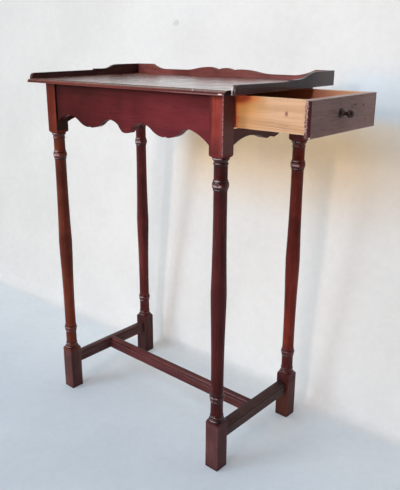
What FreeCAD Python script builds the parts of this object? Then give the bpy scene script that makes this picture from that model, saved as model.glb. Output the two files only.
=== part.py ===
"""A small mahogany tavern table: turned legs, H stretchers, scalloped aprons, galleried top and one end drawer.

The table stands on z = 0 with its length along X and its front towards -Y. The drawer opens at the right-hand
end, towards +X, and is modelled pulled part of the way out. The origin is on the floor, under the middle of
everything that the open table covers.
"""
import FreeCAD
import Part
import Sketcher
import os

from FreeCAD import Rotation, Vector

# Driving dimensions in millimetres: alias, value, meaning.
SIZES = [
    # overall frame
    ("leg_length", 702.5, "height of the legs, floor to underside of the top"),
    ("leg_block", 29.2, "side of the square stock of a leg"),
    ("legs_wide", 466.0, "length over the outside of the legs"),
    ("legs_deep", 267.0, "depth over the outside of the legs"),
    ("head_block", 98.7, "height of the square block at the head of a leg"),
    ("foot_block", 98.2, "height of the square block at the foot of a leg"),
    # turning of a leg, heights measured from the block or ring that each detail belongs to
    ("shoulder_drop", 4.4, "height of the turned shoulder that takes the corners off a block"),
    ("shoulder_hollow", 0.35, "how far that shoulder is hollowed"),
    ("collar_radius", 13.9, "radius beside the collar bead next to a block"),
    ("collar_height", 3.6, "height of the collar bead"),
    ("collar_swell", 0.8, "how far the collar bead stands out"),
    ("collar_step", 0.35, "width of the step from the collar to the hollow beside it"),
    ("cove_height", 5.2, "height of the hollow between the collar and the small bead"),
    ("cove_hollow", 0.7, "depth of that hollow"),
    ("bead_radius", 12.3, "radius beside a small bead"),
    ("bead_height", 3.0, "height of a small bead"),
    ("bead_swell", 0.7, "how far a small bead stands out"),
    ("neck_run", 1.5, "height of the slope from a small bead or fillet to the neck"),
    ("neck_radius", 11.8, "radius of the plain necks"),
    ("upper_ring_drop", 50.4, "distance of the upper ring below the head block"),
    ("lower_ring_rise", 53.4, "height of the lower ring above the foot block"),
    ("ring_radius", 13.2, "radius beside the main bead of the upper ring"),
    ("ring_half_height", 6.0, "half the height of the main bead of the upper ring"),
    ("ring_swell", 1.35, "how far the main bead of the upper ring stands out"),
    ("lower_ring_radius", 13.0, "radius beside the main bead of the lower ring"),
    ("lower_ring_half_height", 4.4, "half the height of the main bead of the lower ring"),
    ("lower_ring_swell", 1.2, "how far the main bead of the lower ring stands out"),
    ("fillet_radius", 12.7, "radius of the flat fillet beside a ring"),
    ("fillet_height", 3.2, "height of that fillet"),
    ("low_bead_height", 4.8, "height of the bead under the lower ring"),
    ("swell_height", 358.0, "height of the thickest part of the shaft above the floor"),
    ("swell_radius", 14.4, "radius of the shaft at its thickest"),
    ("swell_round", 26.0, "length below the swell where the shaft stays nearly as thick"),
    ("swell_round_radius", 14.0, "radius of the shaft at the end of that length"),
    ("shaft_hollow", 0.8, "how far the long tapers of the shaft are hollowed"),
    # aprons
    ("apron_thick", 16.0, "thickness of the aprons and the drawer rail"),
    ("apron_setback", 3.0, "how far the aprons stand back from the faces of the legs"),
    ("apron_depth", 86.2, "depth of the aprons beside the legs"),
    ("arch_rise", 24.8, "height of the arches of the long aprons above their ends"),
    ("arch_hollow", 3.9, "how far the long curve beside a leg is hollowed"),
    ("left_arch_foot", 8.9, "how much higher the front apron's lower edge starts at the left leg"),
    ("left_arch_x", 163.4, "distance of the front apron's left arch from the middle"),
    ("left_arch_hollow", 3.2, "how far its curve beside the left leg is hollowed"),
    ("turn_hollow", 2.2, "how far the curve beside the top of an arch is hollowed"),
    ("turn_swell", 1.6, "how far the curve down to a lobe swells"),
    ("lobe_swell", 0.8, "how far the tip of a lobe swells"),
    ("outer_arch_x", 156.0, "distance of the outer arches from the middle of a long apron"),
    ("inner_arch_x", 45.0, "distance of the inner arches from the middle"),
    ("side_drop_x", 102.0, "distance of the side drops from the middle"),
    ("side_drop_rise", 5.2, "height of the tips of the side drops above the apron's ends"),
    ("drop_half", 31.0, "half the width of a side drop at the turn of its curve"),
    ("drop_turn", 13.8, "height of that turn above the apron's ends"),
    ("lobe_half", 7.5, "distance of a lobe's tip from the cusp of a drop"),
    ("cusp_rise", 2.0, "height of the cusp above the tips of the lobes"),
    ("centre_drop_rise", 4.2, "height of the middle drop above the apron's ends"),
    ("centre_drop_half", 8.0, "half the width of the tip of the middle drop"),
    ("centre_turn_half", 19.0, "half the width of the middle drop at the turn of its curve"),
    ("centre_turn_rise", 16.3, "height of that turn above the apron's ends"),
    ("centre_swell", 1.0, "how far the sides of the middle drop swell"),
    ("end_arch_y", 57.0, "distance of the arches of an end apron from its middle"),
    ("end_arch_rise", 13.7, "height of those arches above the apron's ends"),
    ("end_arch_hollow", 3.0, "how far the curve beside a leg is hollowed on an end apron"),
    ("end_turn_y", 31.0, "half the width of the end drop at the turn of its curve"),
    ("end_turn_rise", 9.8, "height of that turn above the apron's ends"),
    ("end_turn_hollow", 0.7, "how far the curve from the arch to the turn is hollowed"),
    ("end_drop_swell", 0.6, "how far the sides and lobes of the end drop swell"),
    ("end_lobe_half", 11.5, "distance of the end drop's lobes from its cusp"),
    ("end_cusp_rise", 3.2, "height of that cusp above the tips of the lobes"),
    ("end_drop_y", 5.5, "distance of the end drop behind the middle of the table"),
    ("end_drop_rise", 3.2, "height of the tips of the end drop above the apron's ends"),
    # joints between aprons, stretchers and legs
    ("tenon_thick", 6.0, "thickness of the tenons"),
    ("tenon_length", 12.0, "length of the tenons of aprons and rail"),
    ("tenon_margin", 12.0, "wood left above and below a tenon of an apron"),
    ("rail_margin", 4.0, "wood left above and below a tenon of the drawer rail"),
    ("mortise_gap", 0.1, "room left round a tenon in its mortise"),
    ("mortise_extra", 0.6, "room left at the end of a tenon"),
    # stretchers
    ("stretcher_height", 26.0, "height of the stretchers"),
    ("stretcher_thick", 17.5, "thickness of the stretchers"),
    ("stretcher_low", 58.4, "height of the underside of the stretchers above the floor"),
    ("stretcher_tenon", 14.0, "length of the tenons of the end stretchers"),
    ("stretcher_margin", 3.0, "wood left below a tenon of a stretcher"),
    ("centre_tenon", 9.0, "length of the tenons of the centre stretcher"),
    ("moulding_wide", 5.5, "width of the rounded edge along a stretcher"),
    ("moulding_tall", 8.5, "height of that rounded edge"),
    ("moulding_step", 1.2, "fillet beside that rounded edge"),
    ("moulding_swell", 2.0, "how far that rounded edge swells"),
    # top and gallery
    ("top_thick", 7.5, "thickness of the top"),
    ("top_wide", 508.0, "length of the top between the end galleries"),
    ("front_overhang", 24.5, "overhang of the top's front edge past the legs"),
    ("edge_wide", 7.0, "width of the moulded front edge"),
    ("edge_step", 1.0, "fillet above the moulded front edge"),
    ("edge_lip", 0.9, "flat lip below the moulded front edge"),
    ("edge_swell", 1.8, "how far the moulded front edge swells"),
    ("gallery_thick", 7.5, "thickness of the gallery boards"),
    ("left_gallery_front", 18.0, "height of the left gallery at its front, above the top's underside"),
    ("left_gallery_low", 18.7, "height of the left gallery just in front of its step"),
    ("left_gallery_high", 28.8, "height of the gallery at the left back corner"),
    ("right_gallery_front", 15.2, "height of the right gallery at its front, above the top's underside"),
    ("right_gallery_low", 13.3, "height of the right gallery just in front of its step"),
    ("right_gallery_high", 26.8, "height of the gallery at the right back corner"),
    ("gallery_nose", 9.0, "radius of the rounded front end of an end gallery"),
    ("left_gallery_setback", 7.0, "distance of the left gallery's front end from the top's front edge"),
    ("right_gallery_setback", 16.4, "distance of the right gallery's front end from the top's front edge"),
    ("end_nail_y", 61.0, "distance of the last nail of an end gallery behind the table's middle"),
    ("end_nail_pitch", 88.0, "distance from one nail of an end gallery to the next"),
    ("back_nail_pitch", 110.0, "distance from one nail of the back gallery to the next"),
    ("nail_radius", 0.75, "radius of the nails"),
    ("nail_length", 15.0, "length of the nails of the gallery"),
    ("nail_gap", 0.05, "room left round a nail"),
    ("nib_y", 15.8, "distance of the step in an end gallery behind the table's middle"),
    ("nib_rise", 2.7, "height of that step"),
    ("dip_drop", 0.6, "fall of the gallery along the shallow hollow behind the step"),
    ("left_dip_length", 32.0, "length of that hollow on the left gallery"),
    ("right_dip_length", 25.0, "length of that hollow on the right gallery"),
    ("left_ogee_length", 35.0, "length of the ogee that climbs to the high part of the left gallery"),
    ("right_ogee_length", 56.0, "length of the ogee that climbs to the high part of the right gallery"),
    ("ogee_swell", 1.0, "how far each half of the ogee swells"),
    ("left_corner_length", 47.0, "length of the high part at the left end of the back gallery"),
    ("right_corner_length", 29.0, "length of the high part at its right end"),
    ("left_drop_length", 46.0, "length of the hollow drop beside the left high part"),
    ("right_drop_length", 57.0, "length of the hollow drop beside the right high part"),
    ("back_hollow", 3.4, "how far these drops are hollowed"),
    ("left_back_low", 18.4, "height of the low part of the back gallery on the left"),
    ("right_back_low", 15.6, "height of its low part on the right"),
    ("crest_x", 10.4, "distance of the crest to the right of the table's middle"),
    ("crest_half", 118.0, "half the length of the crest with its slopes"),
    ("crest_lobe_x", 44.0, "distance of the crest's shoulders from its middle"),
    ("left_crest_high", 26.2, "height of the crest's left shoulder"),
    ("right_crest_high", 22.9, "height of the crest's right shoulder"),
    ("crest_swell", 0.9, "how far the curves of the crest swell"),
    ("crest_notch_x", 20.4, "distance of the crest's notches from its middle"),
    ("crest_notch", 21.0, "height of the notches"),
    ("crest_hump", 25.0, "height of the small hump between the notches"),
    # drawer
    ("drawer_open", 141.0, "how far the drawer is pulled out as modelled"),
    ("drawer_front_thick", 16.5, "thickness of the drawer front"),
    ("drawer_front_height", 56.5, "height of the drawer front"),
    ("drawer_inset", 1.0, "how far the closed front stands inside the faces of the legs"),
    ("drawer_top_gap", 3.5, "gap between the drawer front and the underside of the top"),
    ("drawer_side_gap", 0.5, "gap between the drawer and each leg block"),
    ("drawer_rail_gap", 0.6, "gap between the drawer front and the rail below it"),
    ("drawer_side_height", 51.7, "height of the drawer sides"),
    ("drawer_side_thick", 8.0, "thickness of the drawer sides"),
    ("drawer_back_thick", 8.0, "thickness of the drawer back"),
    ("drawer_back_drop", 3.0, "how far the drawer back stays below the sides"),
    ("lap", 10.3, "thickness of the drawer front where it laps over the ends of the sides"),
    ("lap_reach", 4.5, "how far the drawer front stands out past the faces of the sides"),
    ("front_nail_low", 19.0, "height of the lower nail of a side above the side's lower edge"),
    ("front_nail_pitch", 22.0, "distance from that nail to the upper one"),
    ("front_nail_length", 18.0, "length of the nails that hold the sides to the front"),
    ("tail_wide", 13.0, "width of a dovetail at its wide end"),
    ("tail_taper", 1.4, "how much a dovetail narrows on each edge"),
    ("tail_pitch", 16.4, "distance from one dovetail to the next"),
    ("dovetail_gap", 0.05, "room left round the dovetails"),
    ("bottom_thick", 5.0, "thickness of the drawer bottom"),
    ("bottom_rise", 5.5, "height of the drawer bottom's groove above the sides' lower edges"),
    ("groove_depth", 3.5, "depth of that groove"),
    ("groove_gap", 0.15, "room left round the drawer bottom in its groove"),
    ("floor_nail_pitch", 62.0, "distance from one nail of the drawer bottom to the next"),
    ("floor_nail_length", 13.0, "length of the nails of the drawer bottom"),
    ("knob_base_radius", 7.6, "radius of the knob's base flange"),
    ("knob_base_thick", 2.2, "thickness of that flange"),
    ("knob_base_round", 1.1, "how far from the drawer front the flange is widest"),
    ("knob_flare_radius", 5.4, "radius of the knob where the flange ends"),
    ("knob_flare_hollow", 0.6, "how far the curves of the flange and the neck are hollowed"),
    ("knob_neck_start", 5.0, "distance of the slender part of the neck from the drawer front"),
    ("knob_neck_radius", 3.4, "radius of the knob's neck"),
    ("knob_head_radius", 6.2, "radius of the knob's head"),
    ("knob_head_length", 9.0, "length of the knob's head"),
    ("knob_head_front", 4.7, "distance of the widest part of the head from its tip"),
    ("knob_front_swell", 1.9, "how far the front of the head swells"),
    ("knob_rear_swell", 1.3, "how far the rear of the head swells"),
    ("knob_length", 21.0, "how far the knob stands out"),
    ("knob_spigot_radius", 3.0, "radius of the spigot that goes through the drawer front"),
    ("knob_off_y", 14.0, "distance of the knob in front of the drawer's middle"),
    ("knob_height", 31.0, "height of the knob above the lower edge of the drawer front"),
    # what carries the drawer
    ("runner_gap", 0.3, "gap between the drawer sides and the runners"),
    ("runner_lap", 2.9, "how far a runner reaches below the top of the rail"),
    ("runner_inset", 4.0, "how far a runner reaches in past the drawer side"),
    ("runner_tab", 5.0, "how far a runner's tongue is let into the drawer rail"),
    ("guide_height", 18.0, "height of a drawer guide"),
    ("guide_gap", 0.5, "gap between a drawer side and its guide"),
    ("stop_height", 14.0, "height of a drawer stop"),
    ("stop_length", 20.7, "length of a drawer stop"),
    ("stop_gap", 0.3, "gap between the closed drawer and its stops"),
    ("glue_block_length", 38.0, "length of a glue block"),
    ("glue_block_side", 8.5, "side of a glue block"),
    ("glue_block_x", 120.0, "distance of the outer glue blocks from the middle"),
]

doc = FreeCAD.newDocument("TavernTable")


# Sizes and the lengths worked out from them

sheet = doc.addObject("Spreadsheet::Sheet", "Sizes")
for row, (alias, value, meaning) in enumerate(SIZES, start=1):
    sheet.set(f"A{row}", meaning)
    sheet.set(f"B{row}", str(value))
    sheet.setAlias(f"B{row}", alias)
doc.recompute()


class Length:
    """A number together with the spreadsheet expression that gives it."""

    def __init__(self, value, text):
        self.value = float(value)
        self.text = text

    def join(self, other, sign, value):
        return Length(value, f"({self.text} {sign} {as_length(other).text})")

    def __add__(self, other):
        return self.join(other, "+", self.value + as_length(other).value)

    def __sub__(self, other):
        return self.join(other, "-", self.value - as_length(other).value)

    def __mul__(self, other):
        return self.join(other, "*", self.value * as_length(other).value)

    def __truediv__(self, other):
        return self.join(other, "/", self.value / as_length(other).value)

    def __neg__(self):
        return Length(-self.value, f"(0 - {self.text})")


def as_length(number):
    """Turn a plain number into a Length, and leave a Length as it is."""
    if isinstance(number, Length):
        return number
    return Length(number, f"({number})")


class SheetSizes:
    """Gives each size of the spreadsheet by its alias."""

    def __getattr__(self, alias):
        return Length(sheet.get(alias), f"Sizes.{alias}")


size = SheetSizes()
zero = as_length(0)


# Ways of working that every piece shares

def new_body(label, x, y, z):
    """A sub-part whose own origin stands at x, y, z."""
    body = doc.addObject("PartDesign::Body", label)
    body.Label = label
    place_at(body, x, y, z)
    return body


def place_at(piece, x, y, z):
    """Stand a piece's own origin at x, y, z, measured from the middle of the legs."""
    for axis, place in (("x", as_length(x) - middle_x), ("y", as_length(y)), ("z", as_length(z))):
        piece.setExpression(f"Placement.Base.{axis}", place.text)


def origin_plane(body, role):
    """One of the body's own origin planes."""
    return next(part for part in body.Origin.OriginFeatures if part.Role == role)


def arc_radius(across, up, rise):
    """Radius of an arc with a chord of across by up that swells by rise."""
    return (across * across + up * up) / (rise * 8) + rise / 2


def fix_point(sketch, geometry, end, x, y, name):
    """Hold one end of a line or arc at x, y in its sketch."""
    for kind, along, place in (("DistanceX", "x", x), ("DistanceY", "y", y)):
        if place is zero:
            axis = -2 if kind == "DistanceX" else -1
            sketch.addConstraint(Sketcher.Constraint("PointOnObject", geometry, end, axis))
            continue
        number = sketch.addConstraint(Sketcher.Constraint(kind, -1, 1, geometry, end, place.value))
        sketch.renameConstraint(number, f"{name}{along}")
        sketch.setExpression(f"Constraints.{name}{along}", place.text)


def new_sketch(body, name, role, offset):
    """An empty sketch on one of the body's origin planes, or at some distance from it."""
    sketch = body.newObject("Sketcher::SketchObject", name)
    sketch.AttachmentSupport = [(origin_plane(body, role), "")]
    sketch.MapMode = "FlatFace"
    if offset is not None:
        sketch.setExpression("AttachmentOffset.Base.z", offset.text)
    return sketch


def outline(body, name, role, points, offset=None):
    """A closed sketch on an origin plane.

    Each point is x, y or x, y, rise. A rise makes the edge that leads to the point an arc that swells outwards
    by that much, or inwards where it is negative, on an outline that runs anticlockwise.
    """
    sketch = new_sketch(body, name, role, offset)
    places = [(as_length(point[0]), as_length(point[1])) for point in points]
    ends = []
    for index, point in enumerate(points):
        start, finish = places[index - 1], places[index]
        here = Vector(start[0].value, start[1].value, 0)
        there = Vector(finish[0].value, finish[1].value, 0)
        if len(point) == 2:
            edge = sketch.addGeometry(Part.LineSegment(here, there), False)
            ends.append((edge, 1, 2))
            continue
        rise = as_length(point[2])
        chord = there - here
        outwards = Vector(chord.y, -chord.x, 0).normalize()
        top = (here + there) * 0.5 + outwards * rise.value
        edge = sketch.addGeometry(Part.Arc(here, top, there), False)
        swells = rise.value > 0
        ends.append((edge, 1, 2) if swells else (edge, 2, 1))
        radius = arc_radius(finish[0] - start[0], finish[1] - start[1], rise if swells else -rise)
        number = sketch.addConstraint(Sketcher.Constraint("Radius", edge, radius.value))
        sketch.renameConstraint(number, f"radius{index}")
        sketch.setExpression(f"Constraints.radius{index}", radius.text)
    for index, (edge, first, last) in enumerate(ends):
        next_edge, next_first, _ = ends[(index + 1) % len(ends)]
        sketch.addConstraint(Sketcher.Constraint("Coincident", edge, last, next_edge, next_first))
        fix_point(sketch, edge, last, places[index][0], places[index][1], f"point{index}")
    return sketch


def circles(body, name, role, centres, radius, offset=None):
    """Equal circles in one sketch on an origin plane."""
    sketch = new_sketch(body, name, role, offset)
    for index, (x, y) in enumerate(centres):
        middle = Vector(as_length(x).value, as_length(y).value, 0)
        ring = sketch.addGeometry(Part.Circle(middle, Vector(0, 0, 1), radius.value), False)
        fix_point(sketch, ring, 3, as_length(x), as_length(y), f"centre{index}")
        number = sketch.addConstraint(Sketcher.Constraint("Radius", ring, radius.value))
        sketch.renameConstraint(number, f"radius{index}")
        sketch.setExpression(f"Constraints.radius{index}", radius.text)
    return sketch


def rectangle(body, name, role, left, right, low, high, offset=None):
    """A rectangular sketch on an origin plane."""
    return outline(body, name, role, [(left, low), (right, low), (right, high), (left, high)], offset)


def pad(body, sketch, length, both_ways=False, backwards=False):
    """Raise a sketch into wood: to one side, or half to each side."""
    feature = body.newObject("PartDesign::Pad", f"{sketch.Name}Pad")
    feature.Profile = sketch
    feature.SideType = "Symmetric" if both_ways else "One side"
    feature.Reversed = backwards
    feature.setExpression("Length", as_length(length).text)
    body.Tip = feature
    return feature


def pocket(body, sketch, length, both_ways=False, backwards=False):
    """Cut a sketch into the wood, and make sure that it cuts."""
    doc.recompute()
    before = body.Shape.Volume
    feature = body.newObject("PartDesign::Pocket", f"{sketch.Name}Pocket")
    feature.Profile = sketch
    feature.SideType = "Symmetric" if both_ways else "One side"
    feature.Reversed = backwards
    feature.setExpression("Length", as_length(length).text)
    body.Tip = feature
    doc.recompute()
    if not body.Shape.Volume < before:
        raise RuntimeError(f"{feature.Name} cuts nothing")
    return feature


def revolve(body, sketch, axis_role="Z_Axis", cut=False):
    """Turn a sketch about an axis, as wood or as a cut."""
    kind = "PartDesign::Groove" if cut else "PartDesign::Revolution"
    feature = body.newObject(kind, f"{sketch.Name}Turned")
    feature.Profile = sketch
    feature.ReferenceAxis = (origin_plane(body, axis_role), [""])
    feature.Angle = 360
    body.Tip = feature
    return feature


# Places that several pieces share

leg_x = size.legs_wide / 2 - size.leg_block / 2
leg_y = size.legs_deep / 2 - size.leg_block / 2
between_x = size.legs_wide - size.leg_block * 2
between_y = size.legs_deep - size.leg_block * 2
apron_in = size.apron_setback + size.apron_thick
long_apron_y = size.legs_deep / 2 - size.apron_setback - size.apron_thick / 2
end_apron_x = size.legs_wide / 2 - size.apron_setback - size.apron_thick / 2
half_block = size.leg_block / 2
apron_foot = size.leg_length - size.apron_depth
stretcher_tenon_low = size.stretcher_low + size.stretcher_margin
stretcher_tenon_high = size.stretcher_low + size.stretcher_height - size.moulding_tall

top_front = size.legs_deep / 2 + size.front_overhang
top_end = size.top_wide / 2
gallery_outside = top_end + size.gallery_thick
gallery_middle = top_end + size.gallery_thick / 2

drawer_face_x = size.legs_wide / 2 - size.drawer_inset + size.drawer_open
drawer_top = size.leg_length - size.drawer_top_gap
drawer_low = drawer_top - size.drawer_front_height
drawer_half = between_y / 2 - size.drawer_side_gap
apron_face_x = size.legs_wide / 2 - apron_in
closed_back = size.stop_length + size.stop_gap - apron_face_x
drawer_length = drawer_face_x - size.drawer_open - closed_back
side_low = drawer_top - size.drawer_side_height
rail_top = drawer_low - size.drawer_rail_gap
runner_top = side_low - size.runner_gap

middle_x = (drawer_face_x + size.knob_length - gallery_outside) / 2


# Legs: square stock, turned between the head and foot blocks and mortised for aprons, rail and stretcher

past_corner = 0.72  # radius just outside the corners of square stock, as a share of its side
quarter_rise = 1 - 0.5 ** 0.5  # how far a quarter circle swells, as a share of its radius


def turned_outline(body):
    """The waste that the turner removes, from the foot block up to the head block."""
    corner = size.leg_block * past_corner
    foot = size.foot_block
    head = size.leg_length - size.head_block
    low, high = foot + size.lower_ring_rise, head - size.upper_ring_drop
    foot_collar = foot + size.shoulder_drop
    foot_cove = foot_collar + size.collar_height
    foot_bead = foot_cove + size.cove_height
    foot_neck = foot_bead + size.bead_height
    low_under = low - size.lower_ring_half_height
    low_over = low + size.lower_ring_half_height
    low_bead = low_under - size.low_bead_height
    high_under = high - size.ring_half_height
    high_over = high + size.ring_half_height
    high_fillet = high_under - size.fillet_height
    high_bead = high_over + size.bead_height
    head_collar = head - size.shoulder_drop
    head_cove = head_collar - size.collar_height
    head_bead = head_cove - size.cove_height
    head_neck = head_bead - size.bead_height
    step, run = size.collar_step, size.neck_run
    points = [
        (size.leg_block, foot),
        (size.leg_block, head),
        (corner, head),
        (size.collar_radius, head_collar, -size.shoulder_hollow),
        (size.collar_radius, head_cove, -size.collar_swell),
        (size.collar_radius - step, head_cove),
        (size.bead_radius, head_bead, size.cove_hollow),
        (size.bead_radius, head_neck, -size.bead_swell),
        (size.neck_radius, head_neck - run),
        (size.neck_radius, high_bead + run),
        (size.bead_radius, high_bead),
        (size.bead_radius, high_over, -size.bead_swell),
        (size.ring_radius, high_over),
        (size.ring_radius, high_under, -size.ring_swell),
        (size.fillet_radius, high_under),
        (size.fillet_radius, high_fillet),
        (size.neck_radius, high_fillet - run),
        (size.swell_radius, size.swell_height, size.shaft_hollow),
        (size.swell_round_radius, size.swell_height - size.swell_round),
        (size.neck_radius, low_over + size.fillet_height + run, size.shaft_hollow),
        (size.fillet_radius, low_over + size.fillet_height),
        (size.fillet_radius, low_over),
        (size.lower_ring_radius, low_over),
        (size.lower_ring_radius, low_under, -size.lower_ring_swell),
        (size.bead_radius, low_under),
        (size.bead_radius, low_bead, -size.bead_swell),
        (size.neck_radius, low_bead - run),
        (size.neck_radius, foot_neck + run),
        (size.bead_radius, foot_neck),
        (size.bead_radius, foot_bead, -size.bead_swell),
        (size.collar_radius - step, foot_cove, size.cove_hollow),
        (size.collar_radius, foot_cove),
        (size.collar_radius, foot_collar, -size.collar_swell),
        (corner, foot, -size.shoulder_hollow),
    ]
    return outline(body, "TurnedWaste", "XZ_Plane", points)


def mortise(body, name, role, side, high, low, across, depth):
    """A mortise cut into the face of a leg that looks along side on the sketch plane's normal."""
    half = size.tenon_thick / 2 + size.mortise_gap
    sketch = rectangle(body, name, role, across - half, across + half,
                       low - size.mortise_gap, high + size.mortise_gap, half_block * side)
    return pocket(body, sketch, depth + size.mortise_extra, backwards=side < 0)


def make_leg(label, side_x, side_y):
    """One leg: side_x is 1 at the drawer end, side_y is 1 at the back."""
    body = new_body(label, leg_x * side_x, leg_y * side_y, zero)
    blank = rectangle(body, "Blank", "XY_Plane", -half_block, half_block, -half_block, half_block)
    pad(body, blank, size.leg_length)
    revolve(body, turned_outline(body), cut=True)
    from_axis = half_block - size.apron_setback - size.apron_thick / 2
    apron_high = size.leg_length - size.tenon_margin
    apron_low = apron_foot + size.tenon_margin
    end_high = rail_top - size.rail_margin if side_x > 0 else apron_high
    end_low = apron_foot + size.rail_margin if side_x > 0 else apron_low
    # the YZ plane looks towards +X and the XZ plane towards -Y
    mortise(body, "LongApron", "YZ_Plane", -side_x, apron_high, apron_low,
            from_axis * side_y, size.tenon_length)
    mortise(body, "EndApron", "XZ_Plane", side_y, end_high, end_low,
            from_axis * side_x, size.tenon_length)
    mortise(body, "Stretcher", "XZ_Plane", side_y, stretcher_tenon_high, stretcher_tenon_low,
            zero, size.stretcher_tenon)
    return body


for end, side_x in (("left", -1), ("right", 1)):
    for face, side_y in (("front", -1), ("back", 1)):
        make_leg(f"leg_{face}_{end}", side_x, side_y)


# Aprons and drawer rail: boards with sawn scallops along the lower edge and a tenon at each end

def mirrored(points, across_middle):
    """A run of points on the left and its mirror image; the last of them is on or just across the middle."""
    both = list(points)
    for index in range(len(points) - 1 - across_middle, 0, -1):
        across, up = points[index - 1][:2]
        both.append((-across, up) + tuple(points[index][2:]))
    return both


def long_scallops(foot):
    """Lower edge of a long apron: an arch beside each leg, two side drops and a narrow middle drop."""
    half = between_x / 2
    lobe = foot + size.side_drop_rise
    turn = foot + size.drop_turn
    arch = foot + size.arch_rise
    outer, inner = -size.side_drop_x - size.drop_half, size.drop_half - size.side_drop_x
    return mirrored(across_middle=1, points=[
        (-half, foot),
        (-size.outer_arch_x, arch, -size.arch_hollow),
        (outer, turn, -size.turn_hollow),
        (-size.side_drop_x - size.lobe_half, lobe, size.turn_swell),
        (-size.side_drop_x, lobe + size.cusp_rise, size.lobe_swell),
        (size.lobe_half - size.side_drop_x, lobe, size.lobe_swell),
        (inner, turn, size.turn_swell),
        (-size.inner_arch_x, arch, -size.turn_hollow),
        (-size.centre_turn_half, foot + size.centre_turn_rise, -size.turn_hollow),
        (-size.centre_drop_half, foot + size.centre_drop_rise, size.centre_swell),
        (size.centre_drop_half, foot + size.centre_drop_rise, size.lobe_swell),
    ])


def front_scallops(foot):
    """Lower edge of the front apron: its left arch is shallower beside the leg and rounder at the top."""
    edge = long_scallops(foot)
    edge[0] = (-between_x / 2, foot + size.left_arch_foot)
    edge[1] = (-size.left_arch_x, foot + size.arch_rise, -size.left_arch_hollow)
    return edge


def end_scallops(foot):
    """Lower edge of an end apron: an arch beside each leg and one drop with two lobes, off the middle."""
    edge = mirrored(across_middle=0, points=[
        (-between_y / 2, foot),
        (-size.end_arch_y, foot + size.end_arch_rise, -size.end_arch_hollow),
        (-size.end_turn_y, foot + size.end_turn_rise, -size.end_turn_hollow),
        (-size.end_lobe_half, foot + size.end_drop_rise, size.end_drop_swell),
        (zero, foot + size.end_drop_rise + size.end_cusp_rise, size.end_drop_swell),
    ])
    drop = [(point[0] + size.end_drop_y,) + tuple(point[1:]) for point in edge[2:-2]]
    return edge[:2] + drop + edge[-2:]


def make_apron(label, role, x, y, half, scallops, top, margin):
    """An apron or the drawer rail: a scalloped board with a tenon at each end."""
    body = new_body(label, x, y, size.leg_length)
    foot = -size.apron_depth
    board = outline(body, "Board", role, [(half, top), (-half, top)] + scallops(foot))
    pad(body, board, size.apron_thick, both_ways=True)
    reach = half + size.tenon_length
    for name, left, right in (("NearTenon", -reach, -half), ("FarTenon", half, reach)):
        tenon = rectangle(body, name, role, left, right, foot + margin, top - margin)
        pad(body, tenon, size.tenon_thick, both_ways=True)
    return body


make_apron("front_apron", "XZ_Plane", zero, -long_apron_y, between_x / 2, front_scallops, zero,
           size.tenon_margin)
make_apron("back_apron", "XZ_Plane", zero, long_apron_y, between_x / 2, long_scallops, zero,
           size.tenon_margin)
make_apron("left_apron", "YZ_Plane", -end_apron_x, zero, between_y / 2, end_scallops, zero,
           size.tenon_margin)
drawer_rail = make_apron("drawer_rail", "YZ_Plane", end_apron_x, zero, between_y / 2, end_scallops,
                         rail_top - size.leg_length, size.rail_margin)


# Stretchers: an H of three rails, each with a rounded edge above a fillet

def stretcher_edge(side):
    """The rounded edge on one side of a stretcher's section, from the side face up to the top."""
    face = size.stretcher_thick / 2
    shelf = size.stretcher_height - size.moulding_tall
    rise = size.moulding_swell
    edge = [
        (face * side, shelf),
        ((face - size.moulding_step) * side, shelf),
        ((face - size.moulding_step - size.moulding_wide) * side, size.stretcher_height, rise),
    ]
    if side > 0:
        return edge
    return [edge[2][:2], edge[1][:2] + (rise,), edge[0]]


def stretcher_section(body, role, left_moulded, right_moulded):
    """Section of a stretcher, moulded along either or both upper edges."""
    face = size.stretcher_thick / 2
    points = [(-face, zero), (face, zero)]
    points += stretcher_edge(1) if right_moulded else [(face, size.stretcher_height)]
    points += stretcher_edge(-1) if left_moulded else [(-face, size.stretcher_height)]
    return outline(body, "Section", role, points)


def make_stretcher(label, role, x, left_moulded, right_moulded, length, tenon):
    """A stretcher with a tenon at each end, its own origin at the middle of its underside."""
    body = new_body(label, x, zero, size.stretcher_low)
    pad(body, stretcher_section(body, role, left_moulded, right_moulded), length, both_ways=True)
    half = size.tenon_thick / 2
    low = stretcher_tenon_low - size.stretcher_low
    high = stretcher_tenon_high - size.stretcher_low
    tongue = rectangle(body, "Tenons", role, -half, half, low, high)
    pad(body, tongue, length + tenon * 2, both_ways=True)
    return body


for end, side in (("left", -1), ("right", 1)):
    stretcher = make_stretcher(f"{end}_stretcher", "XZ_Plane", leg_x * side, side < 0, side > 0,
                               between_y, size.stretcher_tenon)
    gap = size.mortise_gap
    joint = rectangle(stretcher, "CentreMortise", "YZ_Plane",
                      -size.tenon_thick / 2 - gap, size.tenon_thick / 2 + gap,
                      stretcher_tenon_low - size.stretcher_low - gap,
                      stretcher_tenon_high - size.stretcher_low + gap,
                      size.stretcher_thick / 2 * -side)
    pocket(stretcher, joint, size.centre_tenon + size.mortise_extra, backwards=side > 0)

centre_length = leg_x * 2 - size.stretcher_thick
make_stretcher("centre_stretcher", "YZ_Plane", zero, True, True, centre_length, size.centre_tenon)


# Top: a thin board with a moulded front edge, notched at its left end to take the gallery

nail_height = size.top_thick / 2
nail_hole = size.nail_radius + size.nail_gap
nail_bite = size.nail_length - size.gallery_thick
end_nails = [size.end_nail_y - size.end_nail_pitch * step for step in range(3)]
back_nails = [size.back_nail_pitch * step for step in (-2, -1, 0, 1, 2)]


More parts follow.
